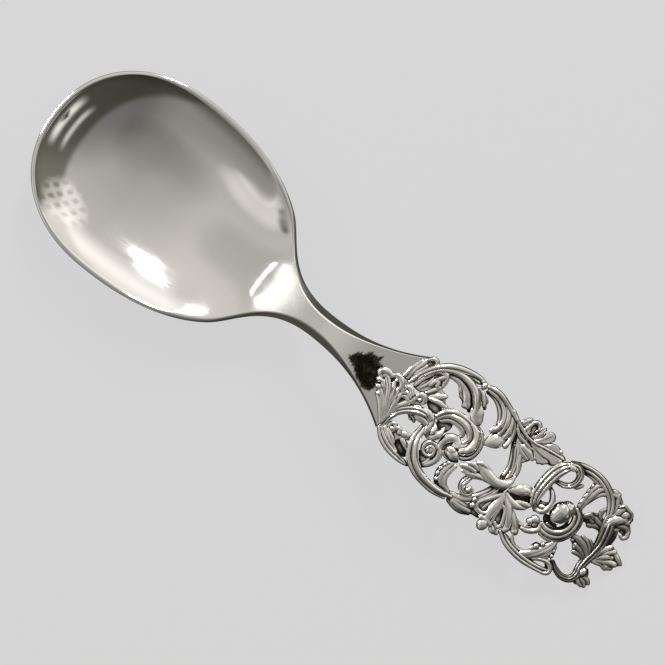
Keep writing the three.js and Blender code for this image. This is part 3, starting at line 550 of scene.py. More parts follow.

# %% [markdown]
# ### Painted dark reflections and a crisp edge
# A few faint dark patches by the heel are painted reflections: the colour is darkened where the
# bowl would mirror something dark. Each is a place along and across the blank, a length, a width
# and a depth. Both edges of the chamfer stay crisp, because a smith files

# %% Pressing the blank
PAINTED_DARK_REFLECTIONS = (
    (57.4, 15.4, 1.7, 1.3, 0.36),
    (59.4, 13.6, 2.2, 1.6, 0.42),
    (61.2, 12.1, 1.6, 1.1, 0.4),
)
# Painted dark reflections: soft patches of darker colour on the bowl's top, standing in for
# something dark that it mirrors.
painted_dark_reflection = np.zeros(len(sheet))
for x, y, long, wide, depth in PAINTED_DARK_REFLECTIONS:
    painted_dark_reflection += depth * np.exp(-((sheet[:, 0] - x) / long) ** 2 - ((sheet[:, 1] - y) / wide) ** 2)
painted_dark_reflection[len(top):] = 0.0
values = {"press": sheet[:, 3], "land": sheet[:, 4], "recess": painted_dark_reflection}
blank = guide_object("blank_sheet", sheet[:, :3], faces=faces, values=values)
creases = np.concatenate([strips[0], strips[1 + RIM_STEPS.index(CHAMFER)]])
creases = creases[on_stem(sheet[creases, 0]) > 0.5]
ends = np.empty(len(blank.data.edges) * 2, dtype=np.int32)
blank.data.edges.foreach_get("vertices", ends)
crisp = np.isin(ends.reshape(-1, 2), creases).all(axis=1)
blank.data.attributes.new("sharp_edge", "BOOLEAN", "EDGE").data.foreach_set("value", crisp)
run_tree(
    blank,
    press_tree,
    {
        "Half Width": BOWL_HALF, "Front": BOWL_FRONT, "Tail": BOWL_TAIL, "Roundness": ROUNDNESS,
        "Fullness": 2.6, "Heel From": 48.0, "Heel To": 65.0, "Heel Softness": 0.48,
        "Fade From": 66.0, "Fade To": 96.0, "Silver": burnished,
    },
)
blank_mesh = plain_mesh(blank)


def points_of(mesh):
    points = np.empty(len(mesh.vertices) * 3, dtype=np.float32)
    mesh.vertices.foreach_get("co", points)
    return points.reshape(-1, 3)


def spoon_frame(mesh, start):
    """Moves a mesh drawn in millimetres from a start along the spoon, into metres."""
    points = (points_of(mesh) - [start, 0, 0]) * MM
    mesh.vertices.foreach_set("co", points.astype(np.float32).ravel())
    mesh.update()


spoon_frame(blank_mesh, OVERALL / 2)
put_in_place("bowl_and_stem", blank_mesh)
print("Blank:", len(blank_mesh.polygons), "faces")

# %% [markdown]
# ## How a casting is drawn
# Every scroll and leaf is a bundle of strands: bars that follow a line, swell and taper, and
# carry one or more reeds along their back, with beads and buds between them. A chaser thinks
# in such lines too. So each casting is written down as a few lines in plan, in millimetres
# along and across the spoon, with widths and heights along the way. One Geometry Nodes tree
# sweeps the lines and shapes the reeds, and a fine remesh then melts the strands of a casting
# into one skin, as the metal did.

# %% Lines, widths and heights of a strand
ON, OVER, LEVEL, UNDER = 0.95, 0.55, -0.25, -0.95
STRAND_STEP = 0.2
LINE_STEPS = 24
PLATE_STRIDE = 4
THINNEST = 0.15
SCROLL_GAUGE, FINGER_GAUGE = 1.1, 1.4
FINGER_POINT = 1.2
BEVEL = 0.28
END_TURNS = np.radians([20, 40, 58, 74, 87])


def smooth_line(path):
    """A dense smooth line through points in plan, which keeps tight where they lie close."""
    points = np.asarray(path, dtype=float)
    ends = [2 * points[0] - points[1], 2 * points[-1] - points[-2]]
    p = np.vstack([ends[:1], points, ends[1:]])
    gap = np.linalg.norm(np.diff(p, axis=0), axis=1)[:, None] ** 0.5
    t = np.linspace(0, 1, LINE_STEPS, endpoint=False)[:, None]
    pieces = []
    for i in range(1, len(p) - 2):
        d0, d1, d2 = gap[i - 1], gap[i], gap[i + 1]
        step0, step1, step2 = (p[i + k] - p[i + k - 1] for k in (0, 1, 2))
        v0 = (step0 / d0 - (step0 + step1) / (d0 + d1) + step1 / d1) * d1
        v1 = (step1 / d1 - (step1 + step2) / (d1 + d2) + step2 / d2) * d1
        cubic = (v0 + v1 - 2 * step1) * t**3 + (3 * step1 - 2 * v0 - v1) * t**2
        pieces.append(cubic + v0 * t + p[i])
    return np.vstack(pieces + [points[-1:]])


def strand(path, half, rise, flat, reeds, groove, point=1.0):
    """One bar of a casting: rows of x, y, z, half-width, flatness, reeds and groove depth."""
    line = smooth_line(path)
    key = np.linspace(0, 1, len(line))
    height = top_height(line[:, 0] + OVERALL / 2) + curve_through(np.atleast_1d(rise), key)
    line = np.column_stack([line, height])
    run = np.concatenate([[0], np.cumsum(np.linalg.norm(np.diff(line, axis=0), axis=1))])
    count = max(4, int(run[-1] / STRAND_STEP) + 1)
    at = np.linspace(0, run[-1], count)
    line = np.column_stack([np.interp(at, run, line[:, k]) for k in range(3)])
    width = np.maximum(curve_through(half, at / run[-1]), THINNEST)
    for sense in (0, -1):
        way = line[sense] - line[1 if sense == 0 else -2]
        way /= np.linalg.norm(way)
        reach = width[sense] * (point if sense else 1.0)
        cap = line[sense] + np.sin(END_TURNS)[:, None] * reach * way
        cap_width = width[sense] * np.cos(END_TURNS)
        if sense == 0:
            line, width = np.vstack([cap[::-1], line]), np.concatenate([cap_width[::-1], width])
        else:
            line, width = np.vstack([line, cap]), np.concatenate([width, cap_width])
    same = np.ones(len(line))
    flatness = curve_through(np.atleast_1d(flat), np.linspace(0, 1, len(line)))
    return np.column_stack([line, width, flatness, reeds * same, groove * same])


def scroll(path, half, rise, flat=0.8, reeds=2, groove=0.4):
    """A bar with reeds along its back and round ends."""
    return strand(path, np.multiply(half, SCROLL_GAUGE), rise, flat, reeds, groove)


def finger(path, half, rise, flat=0.5, reeds=1, groove=0.0):
    """A finger of a leaf, drawn out a little at its tip."""
    return strand(path, np.multiply(half, FINGER_GAUGE), rise, flat, reeds, groove, FINGER_POINT)


def to_the_left(line):
    """Unit vectors along a closed line in plan, turned a quarter to its left."""
    way = np.roll(line, -1, axis=0) - np.roll(line, 1, axis=0)
    way /= np.linalg.norm(way, axis=1)[:, None]
    return np.column_stack([-way[:, 1], way[:, 0]])


def plate(outline, rise, thick=0.42):
    """The ground of a leaf: three rings of a bevelled plate, from its underside to its top."""
    points = np.asarray(outline, dtype=float)
    turn = np.roll(points, -1, axis=0)
    if np.sum(points[:, 0] * turn[:, 1] - points[:, 1] * turn[:, 0]) < 0:
        points = points[::-1]
    line = smooth_line(np.vstack([points[-2:], points, points[:2]]))
    line = line[2 * LINE_STEPS:(2 + len(points)) * LINE_STEPS:PLATE_STRIDE]
    inner = line + to_the_left(line) * BEVEL
    rings = []
    for ring, lift in ((inner, -thick), (line, 0.0), (inner, thick)):
        rings.append(np.column_stack([ring, top_height(ring[:, 0] + OVERALL / 2) + rise + lift]))
    return np.array(rings)


def bead(x, y, rise, sizes):
    """A bead or bud: half-widths along, across and up."""
    sizes = np.broadcast_to(np.asarray(sizes, dtype=float), 3)
    return np.array([x, y, top_height(x + OVERALL / 2) + rise, *sizes])


print("Strands are sampled every", STRAND_STEP, "mm")

# %% [markdown]
# ### One tree for every casting
# The tree sorts a guide by what is stored on its points. Faces are plates and pass through.
# Lines are swept with a circle, and each point of the sweep is then lifted to the reeded back
# or lowered to the rounded belly. Loose points become beads.

# %% The tree that sweeps and reeds the strands
ornament_tree, given = geometry_tree(
    "reeded casting",
    {
        "Around": "Int", "Crown": "Float", "Belly": "Float", "Bead Facets": "Int",
        "Silver": "Material",
    },
)
wire = Wire(ornament_tree)
half, flat, reeds, groove = (stored(wire, name) for name in ("half", "flat", "reeds", "groove"))
circle = wire.node(
    "GeometryNodeCurvePrimitiveCircle", {}, {"Resolution": given["Around"], "Radius": 1.0}
)
circle_x, circle_y, _ = wire.node("GeometryNodeInputPosition").split()
for label, value in (("across", circle_x), ("up", 0.0 - circle_y)):
    inputs = {"Geometry": circle, "Name": label, "Value": value}
    circle = wire.node("GeometryNodeStoreNamedAttribute", {"domain": "POINT"}, inputs)
is_plate = stored(wire, "plate").above(0.5)
sorted_parts = {"Geometry": given["Geometry"], "Selection": is_plate}
plates = wire.node("GeometryNodeSeparateGeometry", {"domain": "POINT"}, sorted_parts)
guides = Wire(ornament_tree, plates.socket.node.outputs["Inverted"])
lines = wire.node("GeometryNodeMeshToCurve", {}, {"Mesh": guides})
level = wire.node("GeometryNodeSetCurveNormal", {"mode": "Z_UP"}, {"Curve": lines})
swept = wire.node(
    "GeometryNodeCurveToMesh",
    {},
    {"Curve": level, "Profile Curve": circle, "Scale": half, "Fill Caps": True},
)
across, up = stored(wire, "across"), stored(wire, "up")
crown = 1.0 - abs(across) ** given["Crown"]
turn = (across * 0.5 + 0.5) * reeds * math.pi
wave = abs(wire.math("SINE", turn))
back = crown * (1.0 - groove * (1.0 - wave))
under = (across * across - 1.0) * given["Belly"]
is_top = up.above(0.0)
shaped = is_top * back + (1.0 - is_top) * under
lift = half * (flat * shaped - up)
offset = wire.node("ShaderNodeCombineXYZ", {}, {"Z": lift})
bars = wire.node("GeometryNodeSetPosition", {}, {"Geometry": swept, "Offset": offset})
ball = wire.node(
    "GeometryNodeMeshIcoSphere", {}, {"Radius": 1.0, "Subdivisions": given["Bead Facets"]}
)
beads = wire.node(
    "GeometryNodeInstanceOnPoints",
    {},
    {
        "Points": guides, "Instance": ball,
        "Selection": stored(wire, "bead").above(0.5),
        "Scale": stored(wire, "size", "FLOAT_VECTOR"),
    },
)
both = wire.node("GeometryNodeJoinGeometry", {}, {"Geometry": [bars, beads, plates]})
end_tree(wire, both, given["Silver"])
print("Casting tree:", len(ornament_tree.nodes), "nodes")

# %% [markdown]
# ## The castings of the handle
# There are thirty-six of them. Each is a list of strands, plates and beads. A strand is the
# points of a line in plan, then half-widths along it, then heights above the top line, and
# its flatness, reeds and grooves where they differ from the usual. What crosses over another
# piece is simply higher. Leaves are fans of fingers that overlap at their root, with a thin
# plate as their ground; volutes are strands that wind inwards and thicken.

# %% An empty tray for the castings
CASTINGS = {}
print("The tray is empty.")

# %% [markdown]
# ### What lies over the rest
# The tongue, the ring, the great volute, the ball and the two large leaves of the upper
# edge are seen whole, so they come first and highest.

# %% The castings on top
# The smooth tongue in the middle, whose lobed end lies over the great volute.
CASTINGS["center_tongue"] = [
    plate(
        [[53.9, -0.6], [53.6, -2.0], [52.6, -3.4], [50.6, -4.2], [48.6, -4.6], [47.0, -5.2],
         [45.8, -5.9], [44.0, -6.1], [42.9, -6.0], [42.2, -5.5], [41.2, -5.2], [41.4, -4.4],
         [42.2, -3.9], [42.4, -3.2], [43.4, -2.8], [43.8, -2.0], [44.8, -1.4], [46.0, -1.2],
         [48.0, -1.6], [50.0, -2.0], [51.4, -1.6], [52.5, -0.4], [53.2, 0.8]],
        OVER - 0.2,
    ),
    scroll(
        [[53.5, 0.9], [53.6, -0.7], [52.7, -2.2], [50.8, -3.0], [48.6, -2.9], [46.8, -2.6],
         [45.2, -2.4]],
        [0.35, 0.65, 1.0, 1.1, 1.2, 1.2, 0.8], [OVER, OVER + 0.3, OVER + 0.3, OVER + 0.1],
        [0.6, 0.5, 0.45, 0.4, 0.4], 1, 0,
    ),
    finger(
        [[48.4, -1.9], [46.6, -1.5], [45.2, -1.6], [44.4, -2.1]],
        [0.35, 0.4, 0.45, 0.4], [OVER + 0.2, OVER + 0.3, OVER + 0.2],
    ),
    finger(
        [[49.6, -3.9], [47.4, -4.2], [45.6, -4.8], [44.0, -5.6]],
        [0.4, 0.5, 0.55, 0.4], [OVER, OVER, OVER - 0.1], 0.6,
    ),
    finger([[45.4, -3.2], [44.0, -3.0], [42.9, -3.4]], [0.5, 0.55, 0.5], [OVER, OVER + 0.1], 0.6),
    finger([[45.0, -4.1], [43.4, -4.2], [41.9, -4.8]], [0.5, 0.6, 0.5], OVER, 0.6),
    finger([[44.4, -5.0], [43.6, -5.3], [42.9, -5.7]], [0.4, 0.45, 0.4], OVER - 0.2, 0.6),
]
# The tall reeded ring that closes the middle of the handle, with a loop at each end.
CASTINGS["ring_scroll"] = [
    scroll(
        [[63.2, 11.8], [61.7, 10.4], [60.6, 8.2], [60.1, 5.0], [60.1, 2.0], [60.8, -0.6],
         [62.2, -2.1]],
        [0.8, 1.4, 1.6, 1.6, 1.5, 1.2, 0.6], [OVER + 0.1, OVER + 0.3, OVER + 0.2, OVER, LEVEL],
        0.62, 3, 0.55,
    ),
    scroll(
        [[62.4, 11.6], [64.1, 12.0], [65.5, 11.2], [66.0, 9.6], [65.5, 7.9], [64.1, 6.8],
         [62.0, 6.3]],
        [0.9, 1.0, 0.9, 0.8, 0.75, 0.7, 0.6], [OVER + 0.3, OVER + 0.2, LEVEL, LEVEL], 0.8, 2, 0.45,
    ),
    bead(63.0, 11.3, OVER + 0.5, [1.3, 0.8, 0.7]),
    finger([[65.6, 8.2], [66.7, 8.3], [67.5, 9.3]], [0.4, 0.5, 0.4], LEVEL),
    scroll(
        [[61.6, 4.4], [63.0, 3.5], [64.2, 2.0], [64.5, 0.4], [64.0, -1.3], [62.9, -1.9],
         [62.0, -1.5]],
        [0.45, 0.6, 0.75, 0.8, 0.75, 0.7, 0.5], [LEVEL, OVER, OVER - 0.2, LEVEL], 0.9, 1, 0,
    ),
    finger([[61.4, 0.3], [62.6, 0.0], [63.8, 0.7]], [0.35, 0.45, 0.4], LEVEL),
    finger([[61.8, -0.9], [62.6, -0.9], [63.4, -0.5]], [0.4, 0.45, 0.4], [LEVEL, OVER - 0.2]),
]
# The great volute in the middle of the handle.
CASTINGS["great_volute"] = [
    scroll(
        [[36.4, 4.0], [38.6, 3.8], [40.1, 2.7], [40.9, 0.8], [40.7, -1.2], [39.7, -2.2]],
        [0.4, 0.7, 0.9, 1.05, 1.2, 0.9], [OVER, OVER + 0.2, OVER + 0.3, OVER], 0.75, 1, 0,
    ),
    finger(
        [[38.8, 4.5], [40.8, 3.7], [42.1, 1.9], [42.5, -0.4], [42.0, -2.4], [40.7, -3.6],
         [39.2, -3.7], [38.4, -2.9]],
        [0.4, 0.5, 0.55, 0.55, 0.55, 0.55, 0.45, 0.35], [LEVEL + 0.2, LEVEL, LEVEL], 0.9,
    ),
    scroll(
        [[29.6, 0.4], [30.5, 2.4], [32.5, 3.9], [35.2, 4.4], [37.6, 4.2]],
        [0.6, 0.7, 0.7, 0.65, 0.45], [LEVEL, OVER, OVER, OVER], 0.85, 1, 0,
    ),
    scroll(
        [[30.3, 0.4], [31.6, 2.3], [33.8, 3.1], [36.2, 3.1], [38.2, 2.3], [39.1, 0.9],
         [38.7, -0.5]],
        [0.6, 0.75, 0.8, 0.85, 0.8, 0.7, 0.5], [LEVEL, OVER, OVER + 0.4, OVER + 0.3, OVER], 0.8, 1,
        0,
    ),
    scroll(
        [[31.2, 0.3], [32.8, 1.7], [34.8, 2.1], [36.4, 1.8], [37.3, 0.8], [37.0, -0.1]],
        [0.5, 0.65, 0.75, 0.75, 0.65, 0.45], [LEVEL, OVER - 0.2, OVER, LEVEL], 0.8, 1, 0,
    ),
]
# The big plain ball that the right-hand volute winds round.
CASTINGS["ball_boss"] = [
    scroll(
        [[67.5, 0.5], [67.8, 1.6], [68.3, 2.6]],
        [2.2, 2.4, 2.0], [OVER + 0.2, OVER + 0.3, OVER], 0.56, 1, 0,
    ),
]
# The spreading acanthus leaf on the upper edge.
CASTINGS["crown_leaf"] = [
    plate(
        [[45.5, 11.6], [46.3, 12.6], [47.0, 13.6], [47.9, 14.4], [48.4, 14.2], [49.0, 14.8],
         [50.0, 15.0], [51.0, 14.4], [51.4, 13.4], [51.7, 14.2], [52.2, 14.7], [52.8, 13.4],
         [53.2, 14.2], [54.2, 14.9], [55.2, 14.6], [55.6, 13.4], [55.4, 12.7], [56.8, 13.2],
         [58.0, 13.0], [58.8, 12.4], [59.8, 12.2], [60.6, 11.6], [60.2, 10.8], [59.8, 9.9],
         [59.3, 9.0], [58.6, 8.3], [57.5, 8.0], [56.9, 7.2], [56.3, 7.0], [55.6, 6.5], [55.0, 7.0],
         [54.4, 6.8], [53.9, 7.2], [53.4, 8.2], [52.0, 8.8], [50.5, 9.2], [48.5, 9.8],
         [46.8, 10.6]],
        LEVEL - 0.4,
    ),
    plate(
        [[47.2, 10.0], [49.0, 9.4], [51.0, 9.2], [52.8, 8.8], [54.2, 7.4], [53.9, 6.2], [52.8, 4.6],
         [52.0, 4.2], [50.6, 5.0], [49.0, 6.4], [48.0, 8.0]],
        LEVEL - 0.6,
    ),
    plate(
        [[45.7, 11.9], [46.3, 12.7], [46.9, 13.7], [47.8, 14.6], [48.5, 14.1], [48.3, 12.8],
         [47.8, 11.6], [46.8, 11.2]],
        LEVEL + 0.1,
    ),
    plate(
        [[47.6, 10.8], [48.2, 12.6], [48.3, 13.8], [48.9, 14.8], [49.9, 15.1], [50.9, 14.7],
         [51.4, 13.6], [51.1, 12.7], [50.5, 12.0], [50.4, 12.8], [50.4, 13.4], [49.9, 13.8],
         [49.3, 13.4], [49.2, 12.4], [49.6, 11.6], [49.9, 10.9], [49.0, 10.5]],
        LEVEL + 0.3,
    ),
    plate(
        [[50.4, 10.7], [51.2, 12.4], [51.5, 13.9], [52.1, 14.9], [52.7, 14.0], [52.7, 12.4],
         [51.9, 10.6]],
        LEVEL + 0.1,
    ),
    plate(
        [[51.4, 10.5], [52.6, 12.2], [52.9, 13.6], [53.4, 14.7], [54.3, 15.0], [55.2, 14.6],
         [55.6, 13.5], [55.2, 12.6], [54.2, 11.6], [53.0, 10.6]],
        LEVEL + 0.3,
    ),
    plate(
        [[52.4, 10.5], [54.4, 11.8], [55.6, 12.9], [56.9, 13.2], [58.0, 12.9], [58.8, 12.4],
         [59.8, 12.1], [60.8, 11.6], [59.6, 11.3], [57.0, 11.1], [54.6, 10.7]],
        LEVEL + 0.2,
    ),
    plate(
        [[50.6, 9.9], [53.0, 10.1], [56.0, 10.6], [58.6, 11.1], [60.4, 11.1], [60.0, 10.0],
         [59.2, 8.9], [58.3, 8.5], [57.5, 8.9], [55.6, 8.7], [53.4, 9.0]],
        LEVEL + 0.3,
    ),
    plate(
        [[51.6, 9.4], [53.6, 9.4], [55.6, 9.1], [57.8, 8.7], [57.2, 7.6], [56.2, 7.0], [55.6, 6.6],
         [54.9, 7.0], [54.3, 6.9], [53.6, 7.8], [52.8, 8.6]],
        LEVEL + 0.1,
    ),
    finger(
        [[43.4, 12.9], [46.4, 11.5], [49.2, 10.4], [52.0, 10.2], [55.0, 10.8], [58.0, 11.3],
         [60.2, 11.5]],
        [0.45, 0.36, 0.26, 0.22, 0.2, 0.18, 0.15], [OVER, LEVEL + 0.8, LEVEL + 0.7, LEVEL + 0.7],
        0.7,
    ),
    finger(
        [[46.8, 11.6], [47.2, 12.8], [47.8, 13.8]],
        [0.26, 0.3, 0.26], [LEVEL + 0.35, LEVEL + 0.4], 0.6,
    ),
    finger(
        [[48.3, 11.2], [48.6, 12.6], [48.9, 13.8]],
        [0.26, 0.3, 0.26], [LEVEL + 0.6, LEVEL + 0.7], 0.6,
    ),
    finger(
        [[48.9, 14.0], [49.7, 14.5], [50.6, 14.2], [50.9, 13.4]],
        [0.28, 0.34, 0.32, 0.26], [LEVEL + 0.7, LEVEL + 0.8], 0.6,
    ),
    finger(
        [[52.4, 11.2], [53.4, 12.8], [54.0, 14.0]],
        [0.2, 0.24, 0.22], [LEVEL + 0.55, LEVEL + 0.65], 0.6,
    ),
    finger([[53.6, 11.4], [54.6, 12.6], [55.0, 13.6]], [0.2, 0.24, 0.2], LEVEL + 0.55, 0.6),
    finger(
        [[51.3, 11.2], [51.9, 12.8], [52.1, 14.0]],
        [0.22, 0.26, 0.22], [LEVEL + 0.35, LEVEL + 0.45], 0.6,
    ),
    finger(
        [[54.4, 11.4], [56.4, 12.3], [58.2, 12.3]],
        [0.2, 0.24, 0.18], [LEVEL + 0.4, LEVEL + 0.45], 0.6,
    ),
    finger(
        [[53.0, 9.6], [55.4, 9.4], [57.6, 9.3], [59.0, 9.6]],
        [0.2, 0.24, 0.24, 0.2], LEVEL + 0.5, 0.5,
    ),
    finger(
        [[52.6, 9.0], [54.4, 8.2], [55.6, 7.5]],
        [0.22, 0.28, 0.24], [LEVEL + 0.3, LEVEL + 0.35], 0.5,
    ),
    finger([[53.4, 9.0], [55.2, 8.6], [56.6, 7.9]], [0.2, 0.26, 0.22], LEVEL + 0.35, 0.5),
    bead(58.5, 12.5, LEVEL + 0.4, [0.5, 0.42, 0.4]),
    bead(59.6, 10.5, LEVEL + 0.5, [0.6, 0.6, 0.4]),
    finger(
        [[46.8, 10.3], [48.4, 9.2], [50.4, 8.9], [52.2, 8.5]],
        [0.35, 0.4, 0.35, 0.3], [LEVEL + 0.3, LEVEL], 0.6,
    ),
    finger([[50.6, 7.7], [52.4, 7.5], [53.9, 6.9]], [0.5, 0.6, 0.45], [LEVEL, LEVEL + 0.1], 0.4),
    finger(
        [[48.8, 8.2], [50.4, 6.7], [52.8, 6.1]],
        [0.5, 0.6, 0.4], [LEVEL - 0.3, LEVEL - 0.2], 0.4,
    ),
    finger([[48.8, 7.2], [50.4, 5.6], [52.0, 4.6]], [0.5, 0.55, 0.35], LEVEL - 0.6, 0.4),
]
# The fluted leaf that hangs from the upper edge and turns down to a broad tongue.
CASTINGS["crest_leaf"] = [
    plate(
        [[35.8, 12.6], [38.4, 12.2], [40.6, 10.8], [41.8, 9.2], [42.3, 8.0], [41.6, 6.6],
         [42.0, 5.8], [42.3, 5.0], [42.2, 3.4], [42.5, 2.0], [43.6, 2.4], [44.8, 3.4], [45.8, 4.6],
         [46.6, 4.6], [47.4, 5.2], [47.6, 6.6], [46.8, 8.8], [45.8, 10.6], [46.2, 11.6],
         [44.0, 12.7], [40.6, 14.1], [37.0, 14.5], [34.8, 13.9]],
        LEVEL - 0.35,
    ),
    scroll(
        [[34.6, 13.6], [36.4, 14.2], [38.8, 14.1], [41.2, 13.4], [43.6, 12.5], [45.4, 11.9]],
        [0.45, 0.6, 0.6, 0.55, 0.5], [LEVEL, OVER, OVER - 0.2, OVER], 0.9, 1, 0,
    ),
    finger(
        [[35.6, 12.6], [38.2, 12.4], [40.5, 11.1], [41.9, 9.4], [42.5, 7.8]],
        [0.35, 0.45, 0.5, 0.5, 0.4], [UNDER, LEVEL - 0.3, LEVEL], 0.8,
    ),
    finger(
        [[35.8, 13.2], [39.2, 13.0], [41.7, 11.4], [42.9, 9.2], [42.9, 7.4], [42.3, 6.4]],
        [0.4, 0.5, 0.55, 0.6, 0.6, 0.5], [LEVEL, LEVEL + 0.2, OVER - 0.3, LEVEL], 0.7,
    ),
    finger(
        [[37.4, 13.6], [40.8, 13.0], [43.1, 11.2], [44.1, 8.8], [44.1, 6.6]],
        [0.4, 0.5, 0.6, 0.65, 0.55], [LEVEL, LEVEL + 0.3, OVER - 0.2, LEVEL], 0.65,
    ),
    finger(
        [[39.6, 13.5], [42.8, 12.4], [44.8, 10.2], [45.6, 7.8], [45.3, 6.2]],
        [0.4, 0.5, 0.6, 0.65, 0.5], [LEVEL, LEVEL + 0.3, OVER - 0.2, LEVEL], 0.65,
    ),
    finger(
        [[41.8, 13.0], [44.4, 11.6], [46.2, 9.4], [47.0, 7.0], [47.1, 5.8]],
        [0.4, 0.5, 0.55, 0.5, 0.45], [LEVEL, LEVEL + 0.2, OVER - 0.2], 0.75,
    ),
    bead(47.0, 5.2, LEVEL + 0.2, [0.75, 0.75, 0.7]),
    finger([[43.0, 7.4], [42.3, 6.8], [42.1, 6.2]], [0.45, 0.55, 0.5], [LEVEL + 0.2, LEVEL]),
    scroll(
        [[45.9, 7.2], [45.2, 5.9], [44.2, 4.4], [43.0, 2.9], [42.4, 2.2]],
        [0.8, 1.4, 1.75, 1.2, 0.4], [LEVEL - 0.4, LEVEL, LEVEL + 0.1, LEVEL - 0.1], 0.34, 1, 0,
    ),
]
print("On the tray:", len(CASTINGS), "castings")

# %% [markdown]
# ### The shoulder and the left half
# The acanthus and the fan sit on the shoulder plate. The straps along both edges spring
# from it and end in small leaves and buds.

# %% The castings of the left half
# The acanthus that climbs the lower half of the shoulder's plate.
CASTINGS["heel_acanthus"] = [
    plate(
        [[20.0, -9.6], [18.0, -7.0], [16.2, -5.0], [14.9, -4.4], [14.2, -3.4], [13.4, -2.4],
         [12.8, -1.4], [12.0, -0.2], [12.0, 0.8], [13.0, 1.6], [14.4, 1.7], [15.4, 2.2],
         [16.6, 2.5], [17.8, 1.9], [18.8, 1.0], [19.8, 2.0], [21.0, 1.8], [22.0, 1.0], [22.8, 2.0],
         [24.0, 2.6], [25.4, 1.8], [25.4, 0.4], [23.8, -0.8], [22.2, -2.0], [21.0, -4.0],
         [20.6, -7.0]],
        ON - 0.6,
    ),
    finger(
        [[20.0, -9.2], [18.2, -6.8], [16.6, -5.1], [15.4, -4.3]],
        [0.35, 0.45, 0.5, 0.5], [ON - 0.4, ON - 0.1, ON - 0.1],
    ),
    bead(15.3, -4.1, ON - 0.1, [0.7, 0.55, 0.55]),
    finger(
        [[20.0, -8.8], [17.8, -5.6], [15.9, -3.6], [14.6, -2.8]],
        [0.35, 0.45, 0.5, 0.5], [ON - 0.3, ON, ON],
    ),
    bead(14.3, -2.7, ON, [0.85, 0.65, 0.65]),
    finger([[20.1, -8.6], [17.8, -4.8], [15.8, -2.3]], [0.3, 0.45, 0.4], [ON - 0.3, ON + 0.1, ON]),
    bead(13.5, -1.3, ON, [0.85, 0.6, 0.6]),
    finger([[15.4, -1.9], [14.4, -1.2], [13.6, -1.2]], [0.4, 0.45, 0.4], ON + 0.1),
    finger(
        [[20.1, -8.2], [18.0, -4.2], [16.2, -1.2], [14.6, 0.3]],
        [0.35, 0.45, 0.5, 0.5], [ON - 0.3, ON + 0.2, ON + 0.1],
    ),
    finger(
        [[15.2, 1.2], [14.2, 1.4], [13.1, 1.1], [12.6, 0.2], [13.2, -0.4]],
        [0.5, 0.6, 0.65, 0.6, 0.4], [ON, ON + 0.2, ON + 0.1],
    ),
    bead(13.9, 0.4, ON - 0.1, [0.8, 0.7, 0.6]),
    finger(
        [[20.2, -7.8], [18.6, -3.8], [17.5, -1.2], [16.9, 0.1]],
        [0.35, 0.45, 0.5, 0.4], [ON - 0.3, ON + 0.2, ON],
    ),
    finger(
        [[18.7, 0.4], [18.2, 1.5], [17.1, 2.1], [16.0, 2.0], [15.5, 1.3]],
        [0.45, 0.55, 0.55, 0.5, 0.4], [ON + 0.2, ON + 0.3, ON],
    ),
    bead(16.8, 1.0, ON, [0.5, 0.5, 0.5]),
    finger(
        [[20.3, -7.4], [19.2, -3.8], [18.7, -1.4], [18.5, -0.2]],
        [0.35, 0.4, 0.45, 0.4], [ON - 0.3, ON + 0.1, ON],
    ),
    finger(
        [[20.4, -7.0], [19.8, -3.8], [19.6, -1.6], [19.6, -0.4]],
        [0.35, 0.45, 0.45, 0.4], [ON - 0.2, ON + 0.2, ON],
    ),
    finger(
        [[19.4, 0.2], [19.9, 1.6], [20.8, 1.6], [21.8, 0.9]],
        [0.45, 0.5, 0.5, 0.4], [ON + 0.1, ON + 0.3],
    ),
    finger([[19.8, -0.3], [20.7, 0.4], [21.7, 0.0]], [0.35, 0.4, 0.35], [ON + 0.1, ON + 0.2]),
    finger([[19.9, -1.2], [20.8, -0.6], [21.7, -0.8]], [0.35, 0.4, 0.35], [ON, ON + 0.1]),
    finger(
        [[20.6, -6.6], [20.7, -4.0], [21.6, -2.2], [22.6, -0.6], [23.0, 0.6]],
        [0.35, 0.45, 0.5, 0.5, 0.45], [ON - 0.2, ON, ON - 0.1, ON],
    ),
    finger(
        [[23.0, 1.0], [23.5, 2.1], [24.5, 2.2], [25.2, 1.3], [24.8, 0.4]],
        [0.45, 0.5, 0.5, 0.5, 0.4], [ON, ON + 0.2, LEVEL + 0.8],
    ),
    bead(24.1, 1.0, ON - 0.1, [0.5, 0.5, 0.5]),
]
# The arched scroll that springs from the lower shoulder and ends in a leaf's head.
CASTINGS["arch_scroll"] = [
    plate(
        [[22.4, -3.4], [23.6, -1.8], [25.4, -0.5], [27.0, 0.1], [28.4, -0.2], [29.2, -1.2],
         [29.0, -2.6], [27.8, -3.2], [26.4, -3.4], [26.0, -4.0], [25.2, -3.7], [24.6, -3.8],
         [24.0, -3.2]],
        LEVEL + 0.3,
    ),
    scroll(
        [[20.7, -9.7], [20.8, -7.0], [21.6, -4.5], [23.3, -2.6], [25.4, -1.3], [27.4, -0.9],
         [28.8, -1.4]],
        [0.7, 0.85, 0.95, 1.0, 1.2, 1.1, 0.6], [LEVEL, OVER - 0.2, OVER, OVER + 0.2, OVER], 0.75, 2,
        0.5,
    ),
    finger([[24.6, -1.9], [26.4, -2.2], [28.6, -2.4]], [0.6, 0.85, 0.6], OVER),
    finger([[26.0, -0.6], [27.6, -0.2], [29.0, -0.6]], [0.5, 0.6, 0.5], OVER + 0.3),
    finger([[23.6, -2.6], [24.6, -3.2], [25.0, -3.7]], [0.5, 0.55, 0.45], LEVEL),
    finger([[24.6, -2.6], [25.6, -3.4], [26.0, -3.8]], [0.5, 0.5, 0.4], LEVEL),
]
